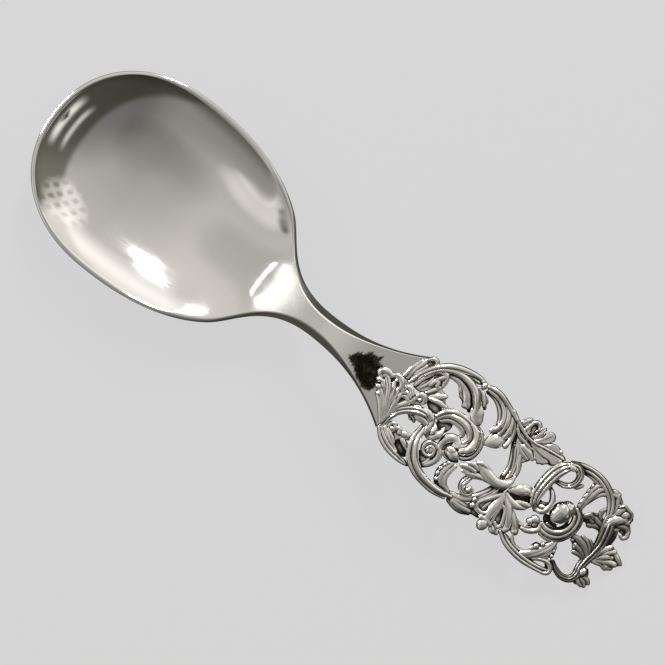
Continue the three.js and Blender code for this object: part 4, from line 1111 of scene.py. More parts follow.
# The long leaf inside the upper edge, which ends in a smooth round-tipped blade.
CASTINGS["upper_blade"] = [
    plate(
        [[35.0, 8.9], [35.4, 7.0], [36.0, 5.6], [37.0, 4.7], [38.4, 4.5], [39.2, 5.0], [39.2, 6.2],
         [38.4, 7.6], [37.2, 8.8], [37.4, 9.6], [36.9, 10.6], [36.0, 11.4], [34.6, 12.0],
         [33.0, 12.0], [34.0, 10.6]],
        LEVEL + 0.2,
    ),
    scroll(
        [[21.4, 6.4], [22.6, 8.6], [24.9, 10.6], [28.0, 11.8], [31.0, 11.7], [33.6, 10.6],
         [35.2, 8.8], [36.2, 7.2]],
        [0.45, 0.6, 0.7, 0.75, 0.8, 0.9, 0.95, 0.7],
        [ON, ON - 0.4, LEVEL + 0.3, OVER, OVER + 0.2, OVER], 0.8, 1, 0,
    ),
    scroll(
        [[35.6, 8.8], [36.6, 7.2], [37.6, 5.9]],
        [1.0, 1.6, 1.5], [OVER - 0.1, OVER, OVER - 0.1], 0.3, 1, 0,
    ),
    finger(
        [[33.4, 11.9], [35.0, 11.5], [36.0, 10.5], [36.6, 9.2]],
        [0.4, 0.5, 0.5, 0.4], LEVEL + 0.2, 0.6,
    ),
    finger([[35.4, 11.1], [36.2, 11.0], [36.8, 10.6]], [0.4, 0.45, 0.4], [LEVEL + 0.2, LEVEL]),
    finger([[36.0, 9.9], [36.8, 9.7], [37.3, 9.2]], [0.4, 0.45, 0.4], [LEVEL + 0.2, LEVEL]),
    finger([[27.0, 10.9], [29.6, 11.0], [32.0, 10.4], [34.0, 9.2]], [0.4, 0.5, 0.55, 0.4], UNDER),
]
# The strap along the upper edge, from the shoulder to a small bud.
CASTINGS["outer_strap"] = [
    plate(
        [[21.6, 8.6], [23.0, 10.6], [25.4, 12.4], [28.0, 13.6], [30.6, 14.2], [33.0, 14.5],
         [33.9, 14.0], [33.2, 12.8], [31.0, 12.6], [28.0, 12.4], [25.4, 11.2], [23.2, 9.2]],
        LEVEL - 0.2,
    ),
    scroll(
        [[19.4, 2.8], [20.4, 6.2], [22.4, 9.6], [25.2, 12.0], [28.6, 13.4], [32.2, 14.1],
         [33.4, 13.9]],
        [0.4, 0.5, 0.65, 0.75, 0.8, 0.7, 0.5], [ON, ON, ON - 0.4, LEVEL + 0.3, LEVEL + 0.2], 0.8, 1,
        0,
    ),
    scroll(
        [[23.4, 9.6], [26.2, 11.7], [29.4, 12.8], [32.4, 13.0]],
        [0.4, 0.55, 0.6, 0.5], [LEVEL + 0.4, LEVEL, LEVEL, LEVEL], 0.8, 1, 0,
    ),
    bead(34.1, 13.3, LEVEL + 0.2, [0.8, 1.0, 0.8]),
    bead(33.2, 13.9, LEVEL + 0.2, [0.7, 0.55, 0.6]),
]
# The reeded scroll along the lower edge.
CASTINGS["lower_rim"] = [
    scroll(
        [[29.3, -3.6], [29.4, -6.0], [30.2, -8.4], [31.8, -10.6], [34.2, -12.2], [37.0, -13.0],
         [40.2, -13.2], [43.0, -12.8], [44.4, -12.4]],
        [0.6, 0.7, 0.75, 0.8, 0.8, 0.75, 0.7, 0.5], [LEVEL, OVER, OVER + 0.1, OVER - 0.1, LEVEL],
        0.85, 1, 0,
    ),
    scroll(
        [[28.3, -3.4], [28.3, -6.0], [28.9, -8.8], [30.5, -11.4], [33.2, -13.2], [36.4, -14.1],
         [40.0, -14.3], [43.2, -13.7]],
        [0.4, 0.5, 0.55, 0.55, 0.55, 0.5, 0.5, 0.4], [LEVEL, OVER - 0.2, OVER - 0.1, LEVEL, LEVEL],
        0.9, 1, 0,
    ),
    scroll(
        [[28.8, -3.4], [28.8, -6.0], [29.5, -8.6], [31.1, -11.0], [33.7, -12.7], [36.7, -13.5],
         [40.1, -13.7], [43.1, -13.2]],
        [0.5, 0.7, 0.75, 0.75, 0.75, 0.7, 0.7, 0.5],
        [LEVEL - 0.4, LEVEL, LEVEL - 0.1, LEVEL - 0.4, UNDER], 0.8, 1, 0,
    ),
]
# The hooded bud inside the great volute.
CASTINGS["hooded_bud"] = [
    plate(
        [[30.6, 1.5], [32.0, 2.3], [33.6, 2.1], [34.2, 0.8], [34.0, -1.0], [33.0, -2.4],
         [31.6, -2.6], [30.6, -1.2]],
        UNDER - 0.2,
    ),
    bead(38.2, -4.2, LEVEL + 0.1, [2.1, 1.4, 1.2]),
    bead(37.5, -3.7, LEVEL + 0.4, [1.4, 1.05, 1.0]),
    finger([[36.2, -5.2], [38.2, -5.5], [40.0, -5.0]], [0.5, 0.55, 0.4], LEVEL - 0.3),
    finger(
        [[34.8, -5.0], [34.7, -3.2], [35.3, -1.7], [36.5, -1.0], [37.6, -1.2], [38.2, -1.8]],
        [0.6, 0.7, 0.85, 0.85, 0.7, 0.5], [LEVEL - 0.3, LEVEL, LEVEL + 0.3, OVER],
    ),
    finger(
        [[35.7, -5.0], [35.6, -3.6], [36.3, -2.4]],
        [0.45, 0.5, 0.45], [LEVEL - 0.4, LEVEL - 0.2],
    ),
]
# The scroll that winds round the ball.
CASTINGS["boss_scroll"] = [
    plate(
        [[64.8, -1.4], [66.4, -1.0], [68.6, -1.6], [69.4, -2.8], [68.2, -3.6], [66.2, -3.4],
         [65.0, -2.6]],
        UNDER - 0.3,
    ),
    scroll(
        [[69.4, 2.5], [70.6, 2.5], [71.3, 1.2], [71.3, -0.7], [70.5, -2.4], [69.0, -3.6],
         [67.2, -4.0], [65.7, -3.6]],
        [0.4, 0.55, 0.6, 0.65, 0.7, 0.7, 0.65, 0.5],
        [LEVEL + 0.2, OVER, OVER, LEVEL + 0.5, LEVEL + 0.2], 0.9, 1, 0,
    ),
    scroll(
        [[70.2, 4.1], [71.8, 3.0], [72.4, 0.8], [72.1, -1.6], [71.0, -3.6], [69.2, -4.8],
         [67.0, -5.1], [65.8, -4.8]],
        [0.6, 0.65, 0.65, 0.65, 0.65, 0.65, 0.6, 0.5],
        [LEVEL + 0.2, LEVEL + 0.3, LEVEL + 0.2, LEVEL], 0.9, 1, 0,
    ),
    scroll(
        [[71.2, 4.4], [72.8, 2.8], [73.2, 0.4], [72.7, -2.2], [71.4, -4.4], [69.2, -5.8],
         [66.8, -6.0]],
        [0.4, 0.45, 0.5, 0.5, 0.5, 0.5, 0.4], [LEVEL - 0.2, LEVEL - 0.1, LEVEL - 0.2], 0.9, 1, 0,
    ),
    scroll(
        [[70.2, 0.6], [70.4, -0.9], [69.6, -2.3], [68.2, -3.0], [66.6, -3.0]],
        [0.35, 0.5, 0.5, 0.45, 0.35], [LEVEL + 0.2, LEVEL, LEVEL - 0.2], 0.8, 1, 0,
    ),
]
# The little curled leaf where the arched scroll meets the great volute.
CASTINGS["hooked_leaf"] = [
    plate(
        [[29.4, -0.4], [29.2, -2.2], [29.6, -4.2], [30.8, -5.0], [32.0, -4.6], [33.1, -3.2],
         [33.4, -1.6], [32.8, -0.7], [32.0, -1.8], [31.2, -2.2], [30.6, -1.0]],
        LEVEL - 0.3,
    ),
    finger(
        [[29.4, -0.6], [29.7, -2.4], [30.0, -4.0], [31.0, -4.6]],
        [0.45, 0.6, 0.6, 0.5], [LEVEL + 0.3, OVER - 0.1, LEVEL],
    ),
    finger(
        [[30.4, -1.4], [31.2, -2.2], [31.3, -3.4], [30.6, -3.7]],
        [0.4, 0.5, 0.5, 0.4], [LEVEL + 0.3, OVER, LEVEL],
    ),
    finger(
        [[31.0, -4.4], [32.3, -3.6], [32.9, -2.3], [32.9, -1.0]],
        [0.55, 0.75, 0.7, 0.4], [LEVEL, OVER - 0.2, LEVEL],
    ),
]
# The fluted fan that covers the upper half of the shoulder's plate.
CASTINGS["shell_fan"] = [
    plate(
        [[20.6, 2.6], [21.2, 5.4], [22.4, 8.0], [23.8, 9.6], [25.2, 10.0], [26.2, 9.4], [26.6, 8.0],
         [26.8, 6.2], [27.8, 6.0], [28.6, 5.4], [29.2, 4.4], [30.3, 3.4], [29.4, 2.9], [27.6, 2.7],
         [26.2, 2.2], [24.4, 2.9], [22.6, 2.3]],
        LEVEL + 0.1,
    ),
    finger(
        [[20.9, 3.0], [21.6, 5.8], [22.8, 8.2]],
        [0.35, 0.4, 0.35], [ON - 0.4, ON - 0.4, LEVEL + 0.4],
    ),
    finger(
        [[22.9, 8.3], [24.0, 9.4], [25.2, 9.5], [26.1, 8.6], [26.3, 7.0]],
        [0.4, 0.5, 0.55, 0.5, 0.4], [LEVEL + 0.4, LEVEL + 0.6, LEVEL + 0.4],
    ),
    finger(
        [[24.2, 7.2], [24.9, 8.2], [25.3, 8.9]],
        [0.4, 0.5, 0.45], [LEVEL + 0.5, LEVEL + 0.6], 0.6,
    ),
    finger(
        [[23.8, 5.4], [24.2, 6.6], [24.9, 6.9], [25.2, 6.2]],
        [0.4, 0.45, 0.45, 0.35], [LEVEL + 0.5, LEVEL + 0.7],
    ),
    finger(
        [[24.4, 3.4], [25.1, 4.6], [25.8, 6.0]],
        [0.35, 0.45, 0.4], [LEVEL + 0.5, LEVEL + 0.4], 0.6,
    ),
    finger([[22.4, 3.4], [23.0, 4.8], [23.4, 6.6]], [0.3, 0.35, 0.3], LEVEL + 0.4, 0.6),
    finger([[25.6, 3.2], [27.0, 4.2], [28.2, 5.2]], [0.5, 0.8, 0.55], LEVEL + 0.3, 0.5),
    finger(
        [[25.6, 2.6], [27.6, 3.2], [29.9, 3.4]],
        [0.4, 0.55, 0.45], [LEVEL + 0.4, OVER - 0.1], 0.7,
    ),
]
# The ribs beside it, which end in a round lobe on the plate's edge.
CASTINGS["shoulder_ribs"] = [
    plate(
        [[17.2, 3.0], [17.6, 5.6], [18.6, 8.6], [19.6, 10.0], [20.6, 10.9], [21.8, 11.1],
         [22.3, 10.2], [21.8, 8.6], [20.8, 6.4], [20.2, 3.0]],
        LEVEL + 0.3,
    ),
    finger(
        [[17.6, 3.2], [17.8, 5.6], [18.6, 8.4]],
        [0.35, 0.4, 0.35], [ON - 0.55, ON - 0.5, ON - 0.6], 0.5,
    ),
    finger(
        [[18.5, 3.2], [18.6, 5.6], [19.3, 8.2], [19.6, 9.4]],
        [0.35, 0.45, 0.4, 0.35], [ON - 0.55, ON - 0.45, ON - 0.55], 0.5,
    ),
    finger(
        [[19.4, 3.2], [19.5, 5.6], [20.3, 8.0]],
        [0.35, 0.45, 0.4], [ON - 0.55, ON - 0.45, ON - 0.55], 0.5,
    ),
    finger(
        [[19.6, 9.6], [20.5, 10.6], [21.5, 10.7], [22.0, 9.8], [21.4, 8.4]],
        [0.35, 0.45, 0.45, 0.4, 0.35], [ON - 0.5, ON - 0.3, ON - 0.5], 0.8,
    ),
]
# The small curled leaf under the long blade.
CASTINGS["curled_leaf"] = [
    plate(
        [[25.6, 2.8], [27.4, 3.1], [29.2, 3.0], [29.9, 1.7], [29.0, 0.6], [27.6, 0.4], [26.4, 0.9],
         [25.6, 1.6]],
        LEVEL - 0.6,
    ),
    plate(
        [[26.0, 9.9], [27.5, 9.8], [29.2, 9.7], [30.4, 9.1], [31.1, 8.1], [31.0, 7.4], [31.9, 7.3],
         [32.4, 7.6], [33.2, 6.6], [34.4, 6.2], [35.2, 6.4], [35.2, 7.8], [34.6, 9.2], [33.2, 10.4],
         [31.0, 11.2], [28.5, 11.3], [26.4, 10.9]],
        UNDER + 0.1,
    ),
    finger(
        [[26.2, 9.9], [28.2, 10.3], [30.4, 10.0], [32.2, 9.0], [33.6, 7.4]],
        [0.4, 0.55, 0.7, 1.0, 0.9], [LEVEL - 0.1, LEVEL - 0.3, LEVEL - 0.4],
    ),
    finger([[29.6, 9.9], [30.6, 8.9], [31.3, 7.9]], [0.5, 0.6, 0.45], [LEVEL - 0.3, UNDER]),
    finger([[30.8, 9.6], [31.8, 8.4], [32.2, 7.6]], [0.5, 0.55, 0.45], [LEVEL - 0.3, UNDER]),
    finger([[32.2, 9.0], [33.0, 7.6], [33.2, 6.8]], [0.7, 0.8, 0.6], [LEVEL - 0.2, UNDER + 0.2]),
    finger([[33.2, 8.8], [34.4, 7.6], [34.8, 6.6]], [0.6, 0.7, 0.5], [LEVEL - 0.3, UNDER]),
]
# The rolled rosette beside the lower edge.
CASTINGS["rosette"] = [
    plate(
        [[31.4, -8.4], [32.4, -9.8], [33.6, -11.0], [34.6, -10.8], [35.6, -9.4], [36.2, -7.6],
         [36.1, -5.9], [34.9, -5.0], [34.2, -6.4], [34.4, -8.0]],
        UNDER - 0.2,
    ),
    scroll(
        [[34.6, -5.4], [33.4, -5.0], [32.0, -5.6], [31.6, -7.0], [32.4, -8.2], [33.8, -8.3],
         [34.6, -7.3], [34.2, -6.2], [33.2, -6.0], [32.7, -6.8], [33.2, -7.4]],
        [0.5, 0.55, 0.6, 0.6, 0.55, 0.5, 0.5, 0.45, 0.45, 0.4, 0.4],
        [LEVEL - 0.2, LEVEL, LEVEL, LEVEL, LEVEL + 0.3], 0.9, 1, 0,
    ),
    bead(33.1, -6.8, LEVEL - 0.4, [1.5, 1.5, 0.8]),
    finger(
        [[34.6, -5.2], [35.8, -6.2], [36.0, -7.8], [35.3, -9.6], [34.0, -11.2]],
        [0.5, 0.65, 0.65, 0.6, 0.5], [LEVEL - 0.2, UNDER + 0.2, UNDER],
    ),
    finger([[34.4, -8.4], [34.6, -9.6], [33.8, -10.9]], [0.5, 0.55, 0.45], UNDER),
]
print("On the tray:", len(CASTINGS), "castings")

# %% [markdown]
# ### The middle
# Here the stems of both halves cross. The palmette hangs below them, and the arch of the
# handle's end starts above.

# %% The castings of the middle
# The palmette under the middle, with a ball at its foot.
CASTINGS["palmette"] = [
    plate(
        [[54.6, -6.6], [56.4, -7.0], [57.6, -8.6], [57.4, -10.4], [55.8, -10.8], [54.8, -9.6]],
        UNDER - 0.2,
    ),
    plate(
        [[53.8, -4.0], [52.6, -6.0], [51.0, -8.0], [50.2, -9.4], [50.6, -10.6], [52.0, -11.2],
         [53.4, -11.0], [54.4, -10.9], [55.4, -11.0], [56.0, -11.3], [57.0, -11.9], [58.0, -11.4],
         [58.5, -10.6], [59.6, -10.9], [60.6, -10.4], [61.0, -9.6], [62.0, -10.2], [62.6, -9.4],
         [62.2, -8.4], [62.4, -7.0], [61.0, -7.3], [59.4, -7.2], [57.6, -6.2], [56.2, -5.2],
         [54.8, -4.4]],
        UNDER - 0.1,
    ),
    finger(
        [[53.6, -4.4], [52.2, -6.6], [50.9, -8.6], [50.4, -9.8], [51.2, -10.7], [52.6, -10.8],
         [53.5, -10.2]],
        [0.5, 0.5, 0.45, 0.4, 0.4, 0.4, 0.35], [LEVEL + 0.1, LEVEL, LEVEL - 0.1, LEVEL], 0.55,
    ),
    finger(
        [[53.5, -6.0], [52.6, -8.0], [52.2, -9.6]],
        [0.35, 0.4, 0.35], [LEVEL - 0.4, LEVEL - 0.5], 0.5,
    ),
    finger(
        [[54.0, -4.4], [54.2, -7.6], [54.3, -10.7]],
        [0.5, 0.85, 0.8], [LEVEL + 0.2, LEVEL + 0.2, LEVEL], 0.45,
    ),
    finger(
        [[54.4, -4.6], [55.2, -7.0], [55.5, -9.4], [55.9, -10.8]],
        [0.45, 0.45, 0.4, 0.4], [LEVEL + 0.2, LEVEL + 0.2, LEVEL], 0.6,
    ),
    finger(
        [[55.4, -6.3], [56.6, -6.6], [57.6, -8.4], [58.2, -10.2], [57.7, -11.2], [56.7, -10.8]],
        [0.4, 0.45, 0.45, 0.45, 0.4, 0.35], [LEVEL + 0.2, LEVEL + 0.2, LEVEL, LEVEL], 0.6,
    ),
    finger(
        [[54.8, -4.6], [57.2, -6.2], [58.8, -8.2], [59.5, -10.0]],
        [0.5, 0.75, 0.85, 0.75], [LEVEL + 0.1, LEVEL + 0.3, LEVEL + 0.1], 0.45,
    ),
    finger(
        [[55.4, -4.7], [58.2, -6.5], [60.4, -8.0], [61.6, -9.2]],
        [0.45, 0.7, 0.85, 0.75], [LEVEL, LEVEL + 0.2, LEVEL + 0.1], 0.45,
    ),
    finger(
        [[56.2, -5.1], [58.8, -6.5], [60.8, -7.2], [62.2, -7.1]],
        [0.35, 0.4, 0.45, 0.35], [LEVEL, LEVEL + 0.1, LEVEL], 0.6,
    ),
    bead(59.7, -10.2, LEVEL + 0.1, [0.75, 0.75, 0.6]),
    bead(61.7, -9.3, LEVEL + 0.1, [0.8, 0.75, 0.6]),
    bead(54.5, -12.8, LEVEL - 0.3, [1.4, 1.65, 1.1]),
    finger([[53.2, -11.7], [54.5, -11.4], [55.8, -11.7]], [0.5, 0.6, 0.5], LEVEL + 0.1),
    finger(
        [[56.4, -11.6], [57.3, -12.4], [58.3, -12.4]],
        [0.5, 0.7, 0.5], [LEVEL - 0.2, LEVEL - 0.3],
    ),
]
# The arch along the upper edge of the handle's end.
CASTINGS["top_arch"] = [
    plate(
        [[62.4, 12.4], [64.0, 13.3], [66.0, 14.1], [69.0, 14.5], [72.0, 14.0], [74.6, 13.0],
         [76.4, 11.3], [77.6, 9.2], [77.0, 8.4], [76.0, 9.6], [74.4, 11.0], [72.4, 11.9],
         [70.0, 12.3], [67.4, 12.1], [65.2, 12.0], [63.6, 11.8]],
        UNDER + 0.3,
    ),
    scroll(
        [[62.2, 12.2], [64.4, 13.3], [67.4, 14.0], [70.4, 13.9], [73.2, 13.0], [75.4, 11.6],
         [76.8, 9.8], [77.6, 8.0]],
        [0.5, 0.55, 0.5, 0.55, 0.6, 0.6, 0.6, 0.5], [UNDER + 0.3, LEVEL, LEVEL + 0.1, LEVEL, LEVEL],
        0.9, 1, 0,
    ),
    scroll(
        [[64.8, 12.5], [67.4, 13.1], [70.2, 13.0], [72.8, 12.2], [74.8, 10.9], [76.2, 9.2],
         [77.0, 7.6]],
        [0.45, 0.55, 0.6, 0.6, 0.6, 0.6, 0.5],
        [UNDER + 0.4, LEVEL - 0.1, LEVEL, LEVEL - 0.2, LEVEL - 0.2], 0.9, 1, 0,
    ),
    scroll(
        [[65.8, 12.0], [68.0, 12.4], [70.2, 12.2], [72.2, 11.4]],
        [0.35, 0.45, 0.5, 0.45], [UNDER, LEVEL - 0.3, LEVEL - 0.2, LEVEL - 0.4], 0.9, 1, 0,
    ),
    finger([[74.0, 12.8], [75.2, 13.2], [75.9, 13.3]], [0.5, 0.6, 0.45], LEVEL),
    finger([[74.6, 12.4], [76.0, 12.7], [77.4, 12.2]], [0.5, 0.6, 0.45], [LEVEL + 0.2, LEVEL]),
    finger([[76.0, 13.0], [76.8, 11.6], [77.6, 9.8]], [0.45, 0.5, 0.4], LEVEL + 0.2),
]
# The buds between the ring and the ball, on their small stem.
CASTINGS["bud_scroll"] = [
    bead(63.8, -3.9, LEVEL + 0.2, [1.2, 1.0, 0.9]),
    bead(63.0, -5.1, LEVEL, [0.9, 0.9, 0.8]),
    bead(64.2, -4.9, LEVEL, [0.8, 0.8, 0.7]),
    finger(
        [[65.2, -4.0], [65.8, -5.2], [65.0, -6.5], [63.6, -7.4], [62.6, -7.6]],
        [0.45, 0.6, 0.6, 0.55, 0.45], [LEVEL, LEVEL, LEVEL - 0.1], 0.8,
    ),
    finger([[64.8, -5.2], [64.2, -6.2], [63.0, -6.8]], [0.4, 0.45, 0.4], LEVEL - 0.2),
]
# The main stem, which runs down through the handle under the tongue.
CASTINGS["main_stem"] = [
    plate(
        [[51.6, -4.6], [53.6, -4.4], [54.0, -6.5], [54.2, -9.0], [53.6, -10.6], [51.6, -10.8],
         [50.2, -9.8], [50.4, -7.6], [51.0, -6.0]],
        UNDER - 0.4,
    ),
    scroll(
        [[46.8, 10.2], [48.3, 7.4], [49.8, 4.6], [50.9, 2.0], [51.2, -1.0], [51.0, -4.0],
         [50.0, -6.8], [48.4, -9.2], [46.0, -11.0]],
        [0.6, 0.8, 0.7, 0.6, 0.6, 0.65, 0.7, 0.7, 0.6],
        [UNDER - 0.5, UNDER - 0.6, UNDER - 0.5, UNDER - 0.1, UNDER], 0.7, 1, 0,
    ),
    scroll(
        [[48.2, 9.2], [49.6, 6.6], [51.2, 4.0], [52.2, 1.4], [52.3, -1.4], [52.0, -4.2],
         [51.0, -7.0], [49.4, -9.6]],
        [0.6, 1.0, 0.9, 0.7, 0.6, 0.7, 0.8, 0.6], [UNDER - 0.1, UNDER, UNDER + 0.3, UNDER], 0.8, 2,
        0.4,
    ),
    scroll(
        [[50.4, 6.8], [51.8, 4.6], [53.0, 2.6], [53.4, 0.4], [53.3, -2.0], [52.9, -4.6]],
        [0.6, 0.8, 0.65, 0.55, 0.6, 0.5], [UNDER - 0.1, UNDER + 0.2, UNDER + 0.2, UNDER], 0.9, 1, 0,
    ),
    finger(
        [[48.6, -9.6], [46.6, -11.2], [44.2, -11.9], [42.4, -12.0]],
        [0.7, 0.7, 0.6, 0.4], [UNDER, UNDER + 0.1],
    ),
]
# The small volute that hangs under the tongue.
CASTINGS["small_volute"] = [
    scroll(
        [[45.2, -5.4], [44.8, -6.8], [44.7, -8.3], [45.4, -9.5], [46.6, -9.8], [47.5, -9.1],
         [47.4, -8.1], [46.7, -7.8]],
        [0.7, 0.9, 0.95, 0.85, 0.7, 0.6, 0.5, 0.4], [LEVEL, LEVEL, LEVEL, LEVEL + 0.3], 0.8, 2,
        0.45,
    ),
    bead(46.6, -8.6, LEVEL + 0.2, [0.7, 0.7, 0.7]),
]
# The two leaves between the tongue and the ring.
CASTINGS["twin_leaves"] = [
    plate(
        [[54.3, -2.6], [54.5, -1.8], [55.8, -0.6], [56.6, 0.6], [57.2, 1.3], [58.6, 1.5],
         [59.8, 0.4], [60.1, -0.3], [58.5, -0.9], [56.8, -1.9], [55.4, -2.8]],
        LEVEL - 0.2,
    ),
    plate(
        [[54.0, -2.8], [55.6, -2.2], [57.4, -1.2], [60.2, -0.4], [60.4, -1.8], [59.0, -2.6],
         [57.4, -3.6], [55.4, -4.2]],
        UNDER - 0.5,
    ),
    plate(
        [[54.4, -3.5], [56.0, -3.9], [57.6, -3.5], [58.8, -2.6], [60.2, -2.0], [61.0, -2.6],
         [60.4, -3.6], [59.0, -4.6], [57.8, -5.3], [56.2, -4.7]],
        LEVEL - 0.3,
    ),
    finger(
        [[54.8, -2.1], [56.4, -0.9], [58.4, 0.3]],
        [0.55, 1.0, 0.8], [LEVEL + 0.1, LEVEL + 0.3, LEVEL], 0.4,
    ),
    finger([[56.4, -0.4], [57.0, 0.4], [57.6, 0.8]], [0.5, 0.6, 0.5], LEVEL, 0.45),
    finger([[57.8, -0.4], [59.0, 0.0], [59.7, 0.1]], [0.5, 0.55, 0.4], [LEVEL + 0.1, LEVEL], 0.45),
    finger(
        [[54.6, -3.6], [56.4, -4.3], [58.2, -4.3], [59.8, -3.6]],
        [0.45, 0.65, 0.7, 0.5], [LEVEL, LEVEL + 0.2, LEVEL], 0.45,
    ),
    finger(
        [[57.0, -3.8], [58.8, -3.0], [60.4, -2.4]],
        [0.35, 0.5, 0.45], [LEVEL, LEVEL + 0.2], 0.45,
    ),
]
print("On the tray:", len(CASTINGS), "castings")

# %% [markdown]
# ### The right half and the end
# The end is a wreath of small leaves round one stem. They lie lower than the rest and
# are drawn with more plates, because their grounds show between the fingers.

# %% The castings of the end
# The lobed leaf that hangs inside the top arch.
CASTINGS["hanging_leaf"] = [
    plate(
        [[69.3, 12.3], [69.3, 10.8], [69.2, 9.2], [69.3, 7.6], [69.4, 6.0], [69.7, 4.7],
         [70.6, 4.4], [71.3, 4.9], [71.4, 6.2], [71.7, 7.6], [72.2, 8.9], [73.0, 10.2],
         [74.2, 11.3], [73.4, 12.4], [71.6, 12.9]],
        LEVEL - 0.5,
    ),
    finger(
        [[73.8, 11.6], [72.4, 10.6], [71.6, 9.0], [71.2, 7.0]],
        [0.4, 0.5, 0.5, 0.35], [LEVEL, LEVEL + 0.1, LEVEL - 0.1],
    ),
    finger(
        [[72.4, 12.2], [71.4, 11.0], [70.9, 9.0], [70.8, 6.6], [70.8, 5.0]],
        [0.45, 0.55, 0.55, 0.5, 0.4], [LEVEL, LEVEL + 0.2, LEVEL],
    ),
    finger(
        [[71.0, 12.4], [70.4, 11.2], [70.1, 9.2], [70.1, 7.0], [70.2, 5.2]],
        [0.45, 0.5, 0.5, 0.5, 0.4], LEVEL,
    ),
    bead(69.6, 10.9, LEVEL - 0.2, [0.4, 0.65, 0.5]),
    bead(69.5, 9.4, LEVEL - 0.2, [0.4, 0.65, 0.5]),
    bead(69.6, 7.8, LEVEL - 0.2, [0.4, 0.65, 0.5]),
    bead(69.7, 6.2, LEVEL - 0.2, [0.4, 0.65, 0.5]),
]
# The scroll along the lower edge of the handle's end, which closes in a small loop.
CASTINGS["right_rim"] = [
    plate(
        [[59.0, -11.4], [60.6, -12.6], [63.2, -13.8], [66.0, -14.2], [69.0, -14.1], [71.6, -13.6],
         [73.8, -13.2], [74.6, -12.2], [74.2, -10.8], [73.0, -10.0], [71.6, -10.4], [72.8, -11.4],
         [72.0, -12.0], [69.8, -12.0], [67.4, -12.0], [64.8, -12.2], [62.8, -11.6], [61.0, -11.0]],
        UNDER,
    ),
    scroll(
        [[59.0, -11.5], [61.2, -12.8], [64.2, -13.6], [67.6, -13.8], [70.8, -13.4], [73.0, -13.0]],
        [0.45, 0.5, 0.5, 0.5, 0.45, 0.4], [UNDER + 0.3, LEVEL, LEVEL - 0.1, LEVEL], 0.9, 1, 0,
    ),
    scroll(
        [[60.2, -11.4], [62.4, -12.4], [65.4, -12.9], [68.6, -12.9], [71.4, -12.5], [73.4, -11.9]],
        [0.4, 0.5, 0.5, 0.5, 0.5, 0.4], [UNDER + 0.2, LEVEL - 0.1, LEVEL - 0.2, LEVEL - 0.1], 0.9,
        1, 0,
    ),
    scroll(
        [[69.4, -11.6], [71.0, -10.6], [73.0, -10.2], [74.2, -11.0], [74.3, -12.2], [73.4, -12.9]],
        [0.45, 0.5, 0.55, 0.6, 0.55, 0.45], [LEVEL - 0.2, LEVEL, LEVEL, LEVEL - 0.1], 0.9, 1, 0,
    ),
    finger(
        [[62.2, -10.8], [63.2, -11.9], [64.8, -12.2], [66.6, -11.6]],
        [0.35, 0.45, 0.45, 0.35], LEVEL - 0.3,
    ),
]
# The leaf that grows from that scroll towards the ball.
CASTINGS["rim_leaf"] = [
    plate(
        [[65.8, -13.0], [67.0, -12.0], [67.2, -10.6], [66.9, -9.2], [67.4, -8.0], [68.6, -7.6],
         [69.4, -6.4], [70.2, -5.2], [71.4, -5.0], [72.2, -6.0], [72.8, -7.4], [73.0, -8.8],
         [73.4, -9.8], [72.0, -10.2], [70.2, -10.6], [69.0, -12.0], [67.5, -13.2]],
        LEVEL - 0.6,
    ),
    finger(
        [[65.6, -12.9], [67.4, -11.4], [68.8, -9.6], [69.8, -7.8], [70.6, -6.0]],
        [0.4, 0.6, 0.65, 0.6, 0.45], [LEVEL - 0.2, LEVEL, LEVEL],
    ),
    finger(
        [[66.8, -12.7], [68.6, -11.0], [70.0, -9.0], [70.9, -7.0], [71.2, -5.4]],
        [0.4, 0.6, 0.65, 0.6, 0.45], [LEVEL - 0.2, LEVEL + 0.1, LEVEL],
    ),
    finger(
        [[68.2, -12.0], [70.0, -10.4], [71.2, -8.6], [71.9, -6.4]],
        [0.4, 0.55, 0.55, 0.4], [LEVEL - 0.2, LEVEL, LEVEL],
    ),
    bead(68.0, -8.8, LEVEL + 0.1, [0.75, 0.75, 0.7]),
    bead(69.0, -7.5, LEVEL, [0.6, 0.7, 0.6]),
    finger([[67.6, -10.6], [67.5, -9.8], [67.9, -9.0]], [0.45, 0.5, 0.4], [LEVEL - 0.2, LEVEL]),
    bead(72.2, -7.2, LEVEL, [0.5, 0.55, 0.5]),
    bead(72.5, -8.4, LEVEL, [0.55, 0.5, 0.5]),
    bead(72.6, -9.5, LEVEL, [0.55, 0.5, 0.5]),
    finger([[70.2, -10.2], [71.6, -9.4], [72.4, -8.6]], [0.5, 0.55, 0.4], LEVEL - 0.1),
]
# The upright leaf with a beaded edge, on the lower edge.
CASTINGS["beaded_leaf"] = [
    plate(
        [[38.6, -5.9], [38.0, -7.0], [37.6, -8.4], [37.6, -9.8], [38.2, -11.2], [39.2, -12.4],
         [41.5, -12.6], [43.4, -12.2], [43.2, -11.4], [41.8, -10.6], [41.0, -9.0], [40.9, -7.4],
         [41.2, -6.0], [40.0, -5.7]],
        LEVEL - 0.65,
    ),
    finger(
        [[43.0, -11.9], [41.2, -11.2], [40.3, -9.8], [40.2, -8.0], [40.6, -6.4]],
        [0.45, 0.6, 0.65, 0.65, 0.5], [LEVEL - 0.2, LEVEL, LEVEL],
    ),
    finger(
        [[42.0, -12.2], [40.4, -11.4], [39.4, -10.0], [39.2, -8.2], [39.6, -6.4]],
        [0.45, 0.6, 0.7, 0.7, 0.55], [LEVEL - 0.3, LEVEL - 0.1, LEVEL],
    ),
    bead(38.9, -11.3, LEVEL - 0.2, [0.6, 0.6, 0.55]),
    bead(38.3, -10.0, LEVEL - 0.1, [0.6, 0.65, 0.6]),
    bead(38.2, -8.6, LEVEL - 0.1, [0.6, 0.65, 0.6]),
    bead(38.5, -7.3, LEVEL - 0.1, [0.6, 0.6, 0.6]),
    bead(39.0, -6.3, LEVEL - 0.1, [0.6, 0.55, 0.55]),
]
